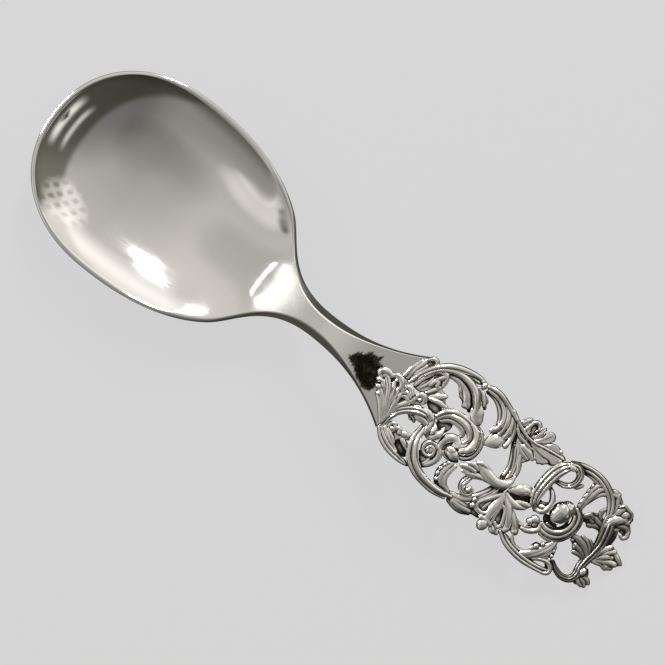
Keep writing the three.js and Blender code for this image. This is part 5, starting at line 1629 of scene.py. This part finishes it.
# The fluted leaf on the lower edge next to the shoulder.
CASTINGS["foot_leaf"] = [
    plate(
        [[22.2, -7.6], [23.0, -6.9], [24.2, -7.0], [25.2, -7.4], [26.6, -7.1], [28.1, -6.6],
         [28.3, -8.0], [27.2, -9.0], [26.2, -9.6], [25.7, -10.6], [26.4, -11.8], [28.0, -12.3],
         [30.6, -12.4], [31.8, -13.2], [30.0, -13.9], [27.0, -13.9], [24.0, -13.1], [21.8, -11.6],
         [20.5, -10.2], [21.6, -9.2]],
        LEVEL - 0.4,
    ),
    plate(
        [[25.6, -9.4], [27.0, -8.6], [28.8, -9.2], [29.9, -10.8], [29.8, -12.2], [27.6, -12.2],
         [26.0, -11.2]],
        UNDER - 0.75, 0.25,
    ),
    scroll(
        [[20.5, -10.2], [22.3, -11.9], [24.7, -13.0], [27.6, -13.5], [30.4, -13.4], [31.5, -13.1]],
        [0.5, 0.5, 0.5, 0.45, 0.4, 0.35], [LEVEL, LEVEL, LEVEL - 0.1, UNDER + 0.3], 0.9, 1, 0,
    ),
    scroll(
        [[21.0, -9.8], [22.9, -11.2], [25.3, -12.2], [28.0, -12.7], [30.6, -12.8]],
        [0.5, 0.5, 0.5, 0.45, 0.35], [LEVEL, LEVEL + 0.2, LEVEL, UNDER + 0.2], 0.9, 1, 0,
    ),
    finger(
        [[21.7, -9.4], [23.4, -10.5], [25.2, -11.4], [27.2, -12.1]],
        [0.45, 0.5, 0.45, 0.35], [LEVEL + 0.1, LEVEL + 0.1, LEVEL - 0.2], 0.8,
    ),
    finger([[22.6, -9.3], [24.0, -10.0], [25.4, -10.8]], [0.4, 0.45, 0.35], LEVEL, 0.8),
    finger(
        [[22.3, -9.0], [22.2, -7.8], [23.0, -7.2], [23.6, -7.8]],
        [0.4, 0.45, 0.45, 0.35], [LEVEL, LEVEL + 0.2],
    ),
    finger(
        [[23.6, -8.8], [24.0, -7.7], [24.8, -7.5], [25.1, -8.2]],
        [0.4, 0.45, 0.45, 0.35], [LEVEL, LEVEL + 0.2],
    ),
    bead(23.2, -8.5, LEVEL, [0.6, 0.5, 0.5]),
    finger([[25.4, -8.2], [26.6, -7.7], [27.8, -7.2]], [0.5, 0.6, 0.45], LEVEL - 0.1, 0.4),
    finger(
        [[26.8, -9.2], [28.0, -9.6], [29.2, -10.1]],
        [0.4, 0.5, 0.4], [LEVEL - 0.1, LEVEL - 0.2],
    ),
]
# The small leaves at the bottom, between the lower edge and the palmette.
CASTINGS["bottom_leaf"] = [
    plate(
        [[44.0, -12.4], [46.0, -11.8], [48.0, -11.6], [49.0, -10.4], [48.7, -9.2], [49.6, -8.6],
         [50.4, -9.6], [50.7, -11.0], [51.6, -11.7], [52.6, -12.2], [50.6, -12.9], [49.4, -13.9],
         [47.6, -14.4], [45.6, -14.2], [44.2, -13.6]],
        UNDER - 0.1,
    ),
    finger(
        [[44.2, -12.8], [46.2, -12.5], [48.4, -12.2], [50.6, -12.0], [52.4, -12.0]],
        [0.5, 0.65, 0.65, 0.55, 0.4], [UNDER + 0.2, UNDER],
    ),
    finger(
        [[44.6, -13.4], [46.4, -13.6], [48.4, -13.5], [50.0, -12.9]],
        [0.5, 0.65, 0.65, 0.5], [UNDER + 0.1, UNDER],
    ),
    finger([[45.4, -13.0], [47.6, -13.0], [49.8, -12.5]], [0.5, 0.6, 0.5], UNDER + 0.4),
    bead(49.4, -9.4, LEVEL, [0.75, 0.75, 0.7]),
    bead(49.8, -10.8, LEVEL - 0.1, [0.85, 0.8, 0.75]),
    finger([[49.7, -10.8], [49.6, -11.6], [49.5, -12.4]], [0.6, 0.6, 0.5], [LEVEL - 0.3, UNDER]),
]
# The stem that closes the end of the handle.
CASTINGS["end_stem"] = [
    plate(
        [[76.2, 9.6], [76.8, 8.0], [77.0, 6.4], [77.4, 4.6], [78.2, 2.8], [78.8, 0.6], [79.0, -1.8],
         [78.7, -4.4], [78.6, -6.4], [78.9, -8.2], [80.2, -8.8], [80.9, -7.2], [80.6, -5.0],
         [80.8, -2.6], [81.0, -0.4], [81.6, 1.6], [82.2, 3.2], [82.0, 5.0], [81.2, 6.4],
         [80.4, 7.6], [79.0, 9.2], [78.0, 10.2], [77.0, 10.6]],
        LEVEL - 0.6,
    ),
    scroll(
        [[73.6, -9.2], [75.2, -10.2], [77.4, -10.7], [79.3, -10.0], [80.0, -8.2], [79.6, -6.2],
         [79.6, -4.0], [79.9, -1.6], [80.0, 0.8], [79.5, 3.4], [78.8, 5.8], [78.2, 8.2]],
        [0.5, 0.75, 0.85, 0.95, 1.05, 1.15, 1.25, 1.3, 1.45, 1.55, 1.4, 1.0],
        [LEVEL - 0.1, LEVEL, LEVEL - 0.2, LEVEL - 0.1, LEVEL], 0.6, 3, 0.5,
    ),
    finger(
        [[78.6, 2.6], [77.9, 5.0], [77.3, 7.4], [77.2, 9.4]],
        [0.45, 0.55, 0.55, 0.4], [LEVEL - 0.2, LEVEL, LEVEL],
    ),
    finger(
        [[80.9, 1.6], [80.3, 4.0], [79.4, 6.4], [78.6, 8.8]],
        [0.5, 0.6, 0.6, 0.45], [LEVEL - 0.1, LEVEL + 0.1, LEVEL],
    ),
    finger([[81.6, 2.6], [81.3, 4.8], [80.3, 7.2]], [0.45, 0.55, 0.45], [LEVEL - 0.3, LEVEL - 0.2]),
]
# The leaf at the very end.
CASTINGS["tip_leaf"] = [
    plate(
        [[80.2, -1.5], [80.4, 0.4], [81.2, 1.8], [82.4, 2.8], [83.6, 2.5], [85.2, 1.9], [86.4, 1.3],
         [87.3, 0.5], [86.6, -0.6], [85.9, -1.6], [85.3, -2.8], [84.0, -3.0], [83.2, -2.5],
         [82.0, -3.2], [81.2, -3.8], [80.6, -3.4]],
        LEVEL - 0.5,
    ),
    finger([[80.7, -1.8], [81.2, 0.3], [82.4, 2.1]], [0.5, 0.6, 0.5], [LEVEL, LEVEL + 0.2, LEVEL]),
    finger([[81.0, -1.8], [82.2, 0.3], [83.8, 1.8]], [0.45, 0.6, 0.5], [LEVEL, LEVEL + 0.1, LEVEL]),
    finger([[84.0, 1.7], [85.6, 1.1], [86.8, 0.5]], [0.45, 0.5, 0.4], [LEVEL - 0.1, LEVEL, LEVEL]),
    finger(
        [[81.2, -2.0], [82.8, -0.4], [84.2, 0.3]],
        [0.5, 0.65, 0.4], [LEVEL, LEVEL + 0.3, LEVEL], 0.45,
    ),
    finger(
        [[81.2, -2.6], [83.4, -1.3], [85.6, -0.6]],
        [0.5, 0.75, 0.6], [LEVEL, LEVEL + 0.1, LEVEL], 0.4,
    ),
    finger(
        [[83.2, -1.9], [84.4, -2.2], [85.4, -1.9]],
        [0.55, 0.7, 0.5], [LEVEL, LEVEL, LEVEL - 0.1], 0.4,
    ),
    finger([[80.9, -3.2], [82.0, -2.9], [83.2, -2.6], [84.4, -2.9]], [0.4, 0.45, 0.4, 0.35], LEVEL),
]
# The lobed leaf that turns inwards from the end's stem.
CASTINGS["inner_leaf"] = [
    plate(
        [[79.4, -0.2], [77.8, 0.6], [76.6, 0.2], [75.4, 0.2], [74.9, -0.5], [73.6, -0.9],
         [73.2, -1.8], [73.8, -2.6], [74.6, -3.1], [75.2, -3.9], [76.2, -4.6], [77.2, -4.2],
         [78.4, -4.6], [79.4, -5.0]],
        LEVEL - 0.6,
    ),
    finger(
        [[79.2, -3.4], [78.0, -2.2], [76.4, -1.4], [74.4, -1.2], [73.7, -1.4]],
        [0.5, 0.75, 0.75, 0.65, 0.5], [LEVEL, LEVEL, LEVEL - 0.1],
    ),
    finger(
        [[79.2, -3.0], [78.2, -1.4], [76.8, -0.4], [75.8, -0.2]],
        [0.5, 0.7, 0.6, 0.5], LEVEL - 0.1,
    ),
    finger([[79.2, -2.4], [78.6, -0.8], [77.6, 0.1]], [0.5, 0.6, 0.5], LEVEL - 0.2),
    finger([[78.8, -3.6], [77.2, -3.0], [75.6, -2.8]], [0.5, 0.7, 0.55], LEVEL - 0.1),
    finger([[78.6, -4.0], [77.4, -3.8], [76.2, -4.2]], [0.5, 0.6, 0.5], [LEVEL - 0.2, LEVEL - 0.1]),
    bead(74.0, -2.2, LEVEL - 0.2, [0.55, 0.55, 0.5]),
    bead(75.4, -3.3, LEVEL - 0.2, [0.55, 0.55, 0.5]),
]
# The broad leaf above it, under the arch.
CASTINGS["upper_inner_leaf"] = [
    plate(
        [[78.6, 6.8], [77.2, 6.6], [76.2, 6.6], [75.8, 8.6], [75.0, 8.4], [74.6, 6.5], [73.8, 6.2],
         [72.8, 5.0], [72.0, 3.4], [72.8, 2.5], [73.8, 2.9], [74.6, 2.3], [75.6, 2.6], [76.4, 3.4],
         [77.6, 3.2], [78.6, 2.2], [79.4, 4.4]],
        LEVEL - 0.7,
    ),
    finger(
        [[78.0, 4.6], [76.6, 5.0], [75.2, 5.2], [74.0, 5.4]],
        [0.5, 0.7, 0.6, 0.4], [LEVEL - 0.5, LEVEL - 0.4], 0.55,
    ),
    finger([[77.8, 4.0], [76.2, 3.9], [74.8, 3.0]], [0.45, 0.6, 0.45], [LEVEL - 0.5, LEVEL - 0.4]),
    finger([[75.0, 4.2], [73.6, 4.6], [72.4, 3.7]], [0.45, 0.5, 0.45], [LEVEL - 0.3, LEVEL - 0.1]),
    finger([[74.4, 5.0], [73.6, 5.2], [72.6, 4.2]], [0.4, 0.45, 0.4], [LEVEL - 0.1, LEVEL]),
    finger([[76.8, 5.6], [75.8, 6.2], [75.2, 7.4]], [0.45, 0.5, 0.4], LEVEL - 0.4),
    finger([[75.6, 7.0], [75.5, 8.0], [75.8, 8.8]], [0.4, 0.45, 0.35], [LEVEL - 0.3, LEVEL - 0.2]),
]
# The leaf at the upper corner of the end.
CASTINGS["upper_end_leaf"] = [
    plate(
        [[77.9, 7.5], [77.8, 9.5], [78.0, 11.4], [79.0, 12.3], [80.2, 11.9], [81.4, 11.9],
         [82.1, 11.0], [82.2, 9.6], [83.0, 8.6], [83.9, 7.8], [84.1, 6.7], [83.4, 5.4], [82.4, 5.2],
         [82.2, 6.0], [81.3, 6.3], [80.6, 5.8], [79.4, 6.0]],
        LEVEL - 0.5,
    ),
    finger(
        [[78.2, 5.8], [79.0, 7.8], [80.6, 9.3]],
        [0.7, 0.9, 0.75], [LEVEL + 0.1, LEVEL + 0.4, LEVEL + 0.2], 0.5,
    ),
    finger(
        [[78.2, 8.2], [78.4, 10.0], [79.0, 11.3]],
        [0.6, 0.75, 0.65], [LEVEL, LEVEL + 0.1, LEVEL], 0.45,
    ),
    finger(
        [[79.4, 9.2], [80.2, 10.4], [81.0, 11.1]],
        [0.7, 0.8, 0.6], [LEVEL, LEVEL + 0.2, LEVEL], 0.45,
    ),
    finger(
        [[80.8, 8.8], [81.7, 9.4], [82.0, 10.3]],
        [0.6, 0.7, 0.5], [LEVEL, LEVEL + 0.1, LEVEL - 0.1], 0.45,
    ),
    finger(
        [[80.2, 7.4], [82.0, 8.2], [83.3, 7.8]],
        [0.55, 0.65, 0.5], [LEVEL, LEVEL, LEVEL - 0.1], 0.45,
    ),
    finger(
        [[83.5, 7.6], [83.8, 6.5], [83.2, 5.6], [82.5, 5.8]],
        [0.45, 0.5, 0.45, 0.35], LEVEL, 0.5,
    ),
    finger([[79.8, 5.6], [80.8, 6.4], [81.2, 7.2]], [0.5, 0.5, 0.35], LEVEL - 0.1, 0.5),
    finger(
        [[78.0, 11.0], [78.8, 12.0], [80.2, 11.8], [81.4, 11.6], [82.0, 10.6], [82.2, 9.4],
         [83.2, 8.4]],
        [0.3, 0.32, 0.3, 0.3, 0.3, 0.3, 0.25], [LEVEL + 0.1, LEVEL + 0.2, LEVEL + 0.1, LEVEL], 0.7,
    ),
]
# The buds and the leaf at the lower corner of the end.
CASTINGS["low_end_leaf"] = [
    plate(
        [[79.6, -7.6], [80.0, -6.0], [80.9, -5.3], [81.8, -5.7], [82.2, -6.8], [83.3, -7.2],
         [84.0, -7.9], [83.4, -8.8], [83.0, -9.6], [82.0, -9.9], [80.8, -10.2], [80.2, -9.2]],
        LEVEL - 0.5,
    ),
    bead(80.9, -6.6, LEVEL + 0.1, [0.95, 1.15, 0.9]),
    finger(
        [[81.4, -5.8], [82.0, -6.8], [81.8, -7.8]],
        [0.4, 0.45, 0.4], [LEVEL - 0.1, LEVEL - 0.2],
    ),
    finger([[82.0, -7.4], [82.9, -7.5], [83.5, -7.9]], [0.45, 0.5, 0.45], LEVEL - 0.1),
    finger([[81.6, -8.3], [82.6, -8.5], [83.1, -9.0]], [0.45, 0.5, 0.45], LEVEL - 0.2),
    finger([[80.6, -8.8], [81.6, -9.3], [82.4, -9.5]], [0.45, 0.5, 0.4], LEVEL - 0.2),
]
strands = sum(part.ndim == 2 for parts in CASTINGS.values() for part in parts)
print(len(CASTINGS), "castings from", strands, "strands")

# %% [markdown]
# ## From lines to metal
# A casting's lines, points and plates become one guide. The tree makes bars, beads and plates
# of it, the remesh melts them together, and a light smoothing stands for the buff.

# %% Casting them
VOXEL = 0.11
SMOOTHING = 2
GUIDE_COLUMNS = ("half", "flat", "reeds", "groove")
CASTING_SIZES = {"Around": 60, "Crown": 2.2, "Belly": 1.2, "Bead Facets": 4}


def plate_faces(start, around):
    """Faces of a plate: its underside, its top and two bands round its edge."""
    under, side, top = (list(range(start + k * around, start + (k + 1) * around)) for k in range(3))
    faces = [under[::-1], top]
    for low, high in ((under, side), (side, top)):
        for i in range(around):
            j = (i + 1) % around
            faces.append((low[i], low[j], high[j], high[i]))
    return faces


def casting_guide(name, parts):
    """A casting as one guide: lines for strands, loose points for beads, faces for plates."""
    points, edges, faces = [], [], []
    values = {label: [] for label in (*GUIDE_COLUMNS, "bead", "plate", "size")}
    for part in parts:
        start = len(points)
        is_bead, is_plate = part.ndim == 1, part.ndim == 3
        rows = part.reshape(-1, part.shape[-1])
        count = len(rows)
        points += rows[:, :3].tolist()
        for k, label in enumerate(GUIDE_COLUMNS):
            values[label] += [1.0] * count if is_bead or is_plate else rows[:, 3 + k].tolist()
        values["bead"] += [float(is_bead)] * count
        values["plate"] += [float(is_plate)] * count
        values["size"] += rows[:, 3:].tolist() if is_bead else [[1.0] * 3] * count
        if is_plate:
            faces += plate_faces(start, part.shape[1])
        elif not is_bead:
            edges += [(start + i, start + i + 1) for i in range(count - 1)]
    return guide_object(name + "_lines", points, edges, faces, values)


def cast(name, parts, finish):
    """Sweeps a casting's strands and melts them into one smooth skin."""
    guide = casting_guide(name, parts)
    run_tree(guide, ornament_tree, {**CASTING_SIZES, "Silver": finish})
    melt = guide.modifiers.new("melt", "REMESH")
    melt.mode = "VOXEL"
    melt.voxel_size = VOXEL
    melt.use_smooth_shade = True
    buff = guide.modifiers.new("buff", "SMOOTH")
    buff.factor = 0.5
    buff.iterations = SMOOTHING
    mesh = plain_mesh(guide)
    mesh.materials.clear()
    mesh.materials.append(finish)
    return mesh


meshes = {}
for name, parts in CASTINGS.items():
    meshes[name] = cast(name, parts, burnished if name == "ball_boss" else chased)
print("Castings:", sum(len(m.polygons) for m in meshes.values()), "faces")

# %% [markdown]
# ## Where the oxide stays, and where shade is painted
# After pickling, a silversmith darkens the openwork and rubs it back. The dark stays wherever
# a cloth cannot reach: in grooves, at the foot of a crossing, down the sides of a strap. So
# each point is compared with the height of the metal around it, as a cloth laid over the
# relief would feel it. A point well below that cloth is a recess. The back of the handle has
# a cloth of its own.

# %% A cloth over the relief
CELL = 0.15
MARGIN = 4
CLOTH = (0.55, 1.3)


def normals_of(mesh):
    normals = np.empty(len(mesh.vertices) * 3, dtype=np.float32)
    mesh.vertex_normals.foreach_get("vector", normals)
    return normals.reshape(-1, 3)


cloud = np.vstack([points_of(m) for m in meshes.values()])
grid_corner = cloud.min(0)[:2] - MARGIN
grid = tuple(((cloud.max(0)[:2] + MARGIN - grid_corner) / CELL).astype(int) + 1)


def cells(points):
    i, j = ((points[:, :2] - grid_corner) / CELL).astype(int).T
    return i, j


def blurred(field, width):
    """A field of cells smoothed by a bell curve of the given width in millimetres."""
    reach = int(3 * width / CELL)
    bell = np.exp(-0.5 * (np.arange(-reach, reach + 1) * CELL / width) ** 2)
    bell /= bell.sum()
    for axis in (0, 1):
        field = np.apply_along_axis(np.convolve, axis, field, bell, "same")
    return field


def cloth_over(points, sense):
    """Heights of cloths laid over the metal, one for each width."""
    field = np.full(grid, -np.inf)
    np.maximum.at(field, cells(points), sense * points[:, 2])
    metal = np.isfinite(field)
    weight = metal.astype(float)
    level = np.where(metal, field, 0.0)
    return [blurred(level, w) / np.maximum(blurred(weight, w), 1e-3) for w in CLOTH]


cloths = {sense: cloth_over(cloud, sense) for sense in (1, -1)}
print("Cloths over", grid[0], "by", grid[1], "cells")

# %% [markdown]
# ### Adding it up
# Four things keep a point dark. How far it lies below the cloths and whether it is a hollow among
# its own neighbours give the oxide. How steep the metal is there gives painted shade on the
# sides. Painted shade also grows towards the end of the handle, and some pieces are darker than
# others by a given amount. The ball is burnished, so it keeps almost none. What would sink into
# the table is pressed flat on it.

# %% The oxide and painted shade of every point
BALL_OXIDE_AND_SHADE = 0.1
# Some pieces are darker than others, by a given amount each.
DARKER_PIECES = {
    "inner_leaf": 0.22, "upper_inner_leaf": 0.26, "end_stem": 0.27, "upper_end_leaf": 0.1,
    "hanging_leaf": 0.08, "low_end_leaf": 0.08, "right_rim": 0.08, "bottom_leaf": 0.34,
    "beaded_leaf": 0.12, "small_volute": 0.08, "hooded_bud": 0.06, "curled_leaf": 0.06,
}
HOLLOW_STEPS = (6, 30)
HOLLOW_REACH = (0.03, 0.12)
REACH = (0.75, 1.7)
END_FROM, END_RUN, END_SHADE = 50, 25, 0.18


def hollows_of(mesh, points, normals):
    """How far each point lies below its own neighbours, over two widths."""
    ends = np.empty(len(mesh.edges) * 2, dtype=np.int32)
    mesh.edges.foreach_get("vertices", ends)
    a, b = ends.reshape(-1, 2).T
    count = np.bincount(ends, minlength=len(points))[:, None]
    smooth, hollow = points.astype(float), 0.0
    for step in range(1, HOLLOW_STEPS[-1] + 1):
        total = np.zeros_like(smooth)
        for k in range(3):
            total[:, k] = np.bincount(a, smooth[b, k], len(points))
            total[:, k] += np.bincount(b, smooth[a, k], len(points))
        smooth = 0.5 * smooth + 0.5 * total / count
        if step in HOLLOW_STEPS:
            depth = np.sum((smooth - points) * normals, axis=1)
            reach = HOLLOW_REACH[HOLLOW_STEPS.index(step)]
            hollow = hollow + 0.5 * np.clip(depth / reach, 0, 1)
    return hollow


def below_cloths(points, normals):
    """How far each point lies below the cloths of the side that it faces."""
    i, j = cells(points)
    deep = {}
    for sense, layers in cloths.items():
        near, far = (
            np.clip((layer[i, j] - sense * points[:, 2]) / r, 0, 1)
            for layer, r in zip(layers, REACH)
        )
        deep[sense] = np.clip(0.55 * near + 0.6 * far, 0, 1)
    facing = soft_step(0.5 + normals[:, 2])
    return deep[1] * facing + deep[-1] * (1 - facing)


for name, mesh in meshes.items():
    points, normals = points_of(mesh), normals_of(mesh)
    points[:, 2] = np.maximum(points[:, 2], 0.0)
    mesh.vertices.foreach_set("co", points.ravel())
    low = below_cloths(points, normals)
    hollow = hollows_of(mesh, points, normals)
    # Painted shade: steep sides are darkened by how steep they are.
    painted_side_shade = 1 - soft_step((np.abs(normals[:, 2]) - 0.1) / 0.6)
    # Painted shade that grows towards the end of the handle, plus the given darkening of some
    # pieces.
    end_shade_and_piece_darkening = END_SHADE * soft_step((points[:, 0] - END_FROM) / END_RUN)
    end_shade_and_piece_darkening = end_shade_and_piece_darkening + DARKER_PIECES.get(name, 0.0)
    recess = np.clip(0.9 * low + 1.2 * hollow + 0.6 * painted_side_shade + end_shade_and_piece_darkening, 0, 1)
    if name == "ball_boss":
        recess *= BALL_OXIDE_AND_SHADE
    layer = mesh.attributes.new("recess", "FLOAT", "POINT")
    layer.data.foreach_set("value", recess.astype(np.float32))
    spoon_frame(mesh, 0.0)
    put_in_place(name, mesh)
print("Castings in place:", len(meshes))

# %% [markdown]
# ## The studio
# A mirror has no look of its own: the bowl shows the room. The photograph's room is a grey
# ceiling, a bright window to the right of the spoon, another behind the bowl, and a dark end
# beyond the handle. The world below is that room, drawn as a few soft regions of direction.
# The camera itself sees only a plain pale ground.

# %% The room
scene = bpy.context.scene
scene.view_settings.view_transform = "Standard"
world = bpy.data.worlds.new("room")
scene.world = world
wire = empty_wire(world)
way_x, way_y, way_z = wire.node("ShaderNodeTexCoord", out="Generated").split()
ROOM_STRENGTH = 1.09
PLAIN_GROUND = (0.65, 0.65, 0.65, 1.0)


def toward(azimuth, elevation):
    """A unit vector from the spoon, by degrees round from +X and up from the table."""
    a, e = math.radians(azimuth), math.radians(elevation)
    return math.cos(a) * math.cos(e), math.sin(a) * math.cos(e), math.sin(e)


def spot(azimuth, elevation, inner, outer):
    """1 within an inner angle of a direction in the room, 0 beyond an outer one."""
    x, y, z = toward(azimuth, elevation)
    near = way_x * x + way_y * y + way_z * z
    return near.ramp(math.cos(math.radians(outer)), math.cos(math.radians(inner)))


def band(value, middle, width):
    """A soft stripe where a value lies near a middle."""
    return 1.0 - abs(value - middle).ramp(0.0, width)


# The ceiling, lighter over the bowl, with a dim far corner and two dim patches.
over_bowl = (0.0 - way_x).ramp(-0.05, 0.45) * way_z.ramp(0.2, 0.7)
ceiling = over_bowl * 0.18 + way_y * 0.157 + 0.42
far_corner = way_x.ramp(0.05, 0.5) * ((way_x - way_y) * 0.6).ramp(0.05, 0.6)
dim_side = 1.0 - spot(290, 66, 5, 30) * 0.28
dim_over_heel = 1.0 - spot(180, 50, 4, 22) * 0.2
shade = (1.0 - far_corner * 0.5) * dim_side * dim_over_heel
dark_end = (way_z - way_x * 0.70).ramp(0.01, 0.14)
horizon = way_z.ramp(0.02, 0.26)
room = (horizon * 0.55 + 0.45) * (dark_end * 0.63 + 0.37) * shade * ceiling
# The bright things: two streaks ahead, a wall, a wedge of light and a window with panes.
ahead = way_x.above(0.0) * (1.0 - abs(way_y).ramp(0.10, 0.34))
streaks = ahead * (band(way_z, 0.28, 0.07) * 0.9 + band(way_z, 0.44, 0.05) * 0.6)
slant = way_x / wire.math("MAXIMUM", way_y, 0.01)
wall_width = slant.ramp(-0.75, -0.45) * (1.0 - slant.ramp(0.40, 0.75)) * way_y.above(0.0)
bright_wall = wall_width * (1.0 - way_z.ramp(0.12, 0.55)) * 0.66
wedge = spot(236, 35, 0, 15) * 0.26 + band(way_z, 0.49, 0.06) * spot(241, 28, 1, 8) * 0.14
panes = wire.math("SINE", (way_x - way_y * 0.5) * 48.0).ramp(-0.6, 0.6)
rails = wire.math("SINE", (way_z + way_x * 0.2) * 50.0).ramp(-0.8, 0.4)
far_window = spot(60, 26, 10, 20) * (0.36 - panes * rails * 0.30)
glare = streaks + bright_wall + wedge + far_window
# Both a little warm, the dark end most of all.
red, green = room + glare, room * 0.98 + glare * 0.985
blue = room * (dark_end * 0.13 + 0.82) + glare * 0.965
paint = wire.node("ShaderNodeCombineXYZ", {}, {"X": red, "Y": green, "Z": blue})
seen = wire.node("ShaderNodeLightPath", out="Is Camera Ray")
shown = wire.node("ShaderNodeBackground", {}, {"Color": PLAIN_GROUND, "Strength": 1.0})
lit = wire.node("ShaderNodeBackground", {}, {"Color": paint, "Strength": ROOM_STRENGTH})
both = wire.node("ShaderNodeMixShader", {}, {0: seen, 1: lit, 2: shown})
wire.node("ShaderNodeOutputWorld", {}, {"Surface": both})
print("Room:", len(world.node_tree.nodes), "nodes")

# %% [markdown]
# Three lamps are the windows that also light the table and the relief: one at the spoon's
# side, a faint one over the bowl and a low one beyond the bowl.

# %% The windows
WINDOW_DISTANCE = 1.2


def window(name, azimuth, elevation, size, power):
    """A soft lamp on the wall or ceiling that looks at the spoon."""
    data = bpy.data.lights.new(name, "AREA")
    data.shape = "RECTANGLE"
    data.size, data.size_y = size
    data.energy = power
    lamp = bpy.data.objects.new(name, data)
    a, e = math.radians(azimuth), math.radians(elevation)
    lamp.location = np.array(toward(azimuth, elevation)) * WINDOW_DISTANCE
    lamp.rotation_euler = (math.pi / 2 - e, 0, a + math.pi / 2)
    scene.collection.objects.link(lamp)


window("side_window", 113.5, 35, (0.13, 0.36), 14)
window("bowl_window", 180, 44.8, (0.40, 0.04), 0.2)
window("low_window", 180, 29, (0.4, 0.16), 10)
print("Windows:", len(bpy.data.lights))

# %% [markdown]
# The table is pale to the camera and carries a soft shadow. The metal mirrors it dark, as it
# does a ground that the spoon itself shades.

# %% The table
PALE = (0.725, 0.725, 0.725, 1.0)
GREY = (0.25, 0.25, 0.25, 1.0)
SHADE = (0.06, 0.058, 0.05, 1.0)
GLOW_SHARE = 0.86
TABLE_HALF, TABLE_TOP = 2.0, -0.00002
CORNERS = ((-1, -1), (1, -1), (1, 1), (-1, 1))
table_material = bpy.data.materials.new("pale_table")
wire = empty_wire(table_material)
matte = wire.node("ShaderNodeBsdfDiffuse", {}, {"Color": GREY})
glow = wire.node("ShaderNodeEmission", {}, {"Color": PALE, "Strength": 1.0})
pale = wire.node("ShaderNodeMixShader", {}, {0: GLOW_SHARE, 1: matte, 2: glow})
mirrored = wire.node("ShaderNodeBsdfDiffuse", {}, {"Color": SHADE})
seen = wire.node("ShaderNodeLightPath", out="Is Camera Ray")
surface = wire.node("ShaderNodeMixShader", {}, {0: seen, 1: mirrored, 2: pale})
wire.node("ShaderNodeOutputMaterial", {}, {"Surface": surface})


def on_stage(name, points, material):
    """A flat thing of the studio, with one face."""
    mesh = bpy.data.meshes.new(name)
    mesh.from_pydata(points, [], [range(len(points))])
    mesh.materials.append(material)
    obj = bpy.data.objects.new(name, mesh)
    scene.collection.objects.link(obj)
    return obj


corners = [(x * TABLE_HALF, y * TABLE_HALF, TABLE_TOP) for x, y in CORNERS]
table = on_stage("table", corners, table_material)
print("Table:", 2 * TABLE_HALF, "m wide")

# %% [markdown]
# On the stem of the photographed spoon a dark, ragged patch is mirrored. Here it is a piece of
# black cloth held over the stem, which the camera doesn't see and which throws no shadow.

# %% The dark cloth
CLOTH_DARK, CLOTH_FOLDS = (0.03, 0.026, 0.014, 1.0), (0.12, 0.105, 0.07, 1.0)
FLAG_HEIGHT = 0.035
FLAG_RAGS = ((5.0, 0.16), (11.0, 0.13), (23.0, 0.08))
FLAG_STRIDE = 3
FLAG_OUTLINE = np.array([
    (1.8, -1.6), (3.0, -0.8), (4.0, 0.5), (5.4, 1.0), (6.8, 1.1), (7.6, 2.2), (8.8, 2.8),
    (10.6, 2.6), (12.6, 3.6), (12.4, 2.2), (14.4, 1.6), (16.4, -0.3), (16.4, -3.3), (14.4, -5.6),
    (11.0, -5.0), (8.4, -3.9), (6.4, -3.0), (4.6, -2.6), (3.2, -2.2),
])
flag_material = bpy.data.materials.new("black_cloth")
wire = empty_wire(flag_material)
place = wire.node("ShaderNodeTexCoord", out="Object")
folds = noise(wire, place, 420.0, 2.0).ramp(0.5, 0.75)
folded = mixed(wire, folds, CLOTH_DARK, CLOTH_FOLDS)
cloth = wire.node("ShaderNodeBsdfDiffuse", {}, {"Color": folded})
wire.node("ShaderNodeOutputMaterial", {}, {"Surface": cloth})
flag_line = smooth_line(np.vstack([FLAG_OUTLINE, FLAG_OUTLINE[:1]]))[:-1:FLAG_STRIDE]
turn = np.linspace(0, 2 * math.pi, len(flag_line), endpoint=False)
rags = sum(size * np.sin(4 * count * turn) for count, size in FLAG_RAGS)
flag_line += to_the_left(flag_line) * rags[:, None]
flag = on_stage("flag", [(x * MM, y * MM, FLAG_HEIGHT) for x, y in flag_line], flag_material)
flag.visible_camera = False
flag.visible_shadow = False
print("Cloth:", len(flag_line), "points round its edge")

# %% [markdown]
# The camera looks straight down from far above, turned so that the spoon lies across the
# picture from corner to corner.

# %% The camera
TURN = math.radians(38.94)
DISTANCE = 1.4
FRAME_WIDTH = 0.1596
SENSOR = 36
AIM = (-0.00228, 0.00034, 0.008)
camera_data = bpy.data.cameras.new("camera")
camera_data.sensor_width = SENSOR
camera_data.lens = SENSOR * DISTANCE / FRAME_WIDTH
camera_data.clip_end = 20
camera = bpy.data.objects.new("camera", camera_data)
scene.collection.objects.link(camera)
stand = Matrix.Translation((AIM[0], AIM[1], AIM[2] + DISTANCE))
camera.matrix_world = stand @ Matrix.Rotation(TURN, 4, "Z")
scene.camera = camera
print("Camera stands", round(AIM[2] + DISTANCE, 3), "m above the table")
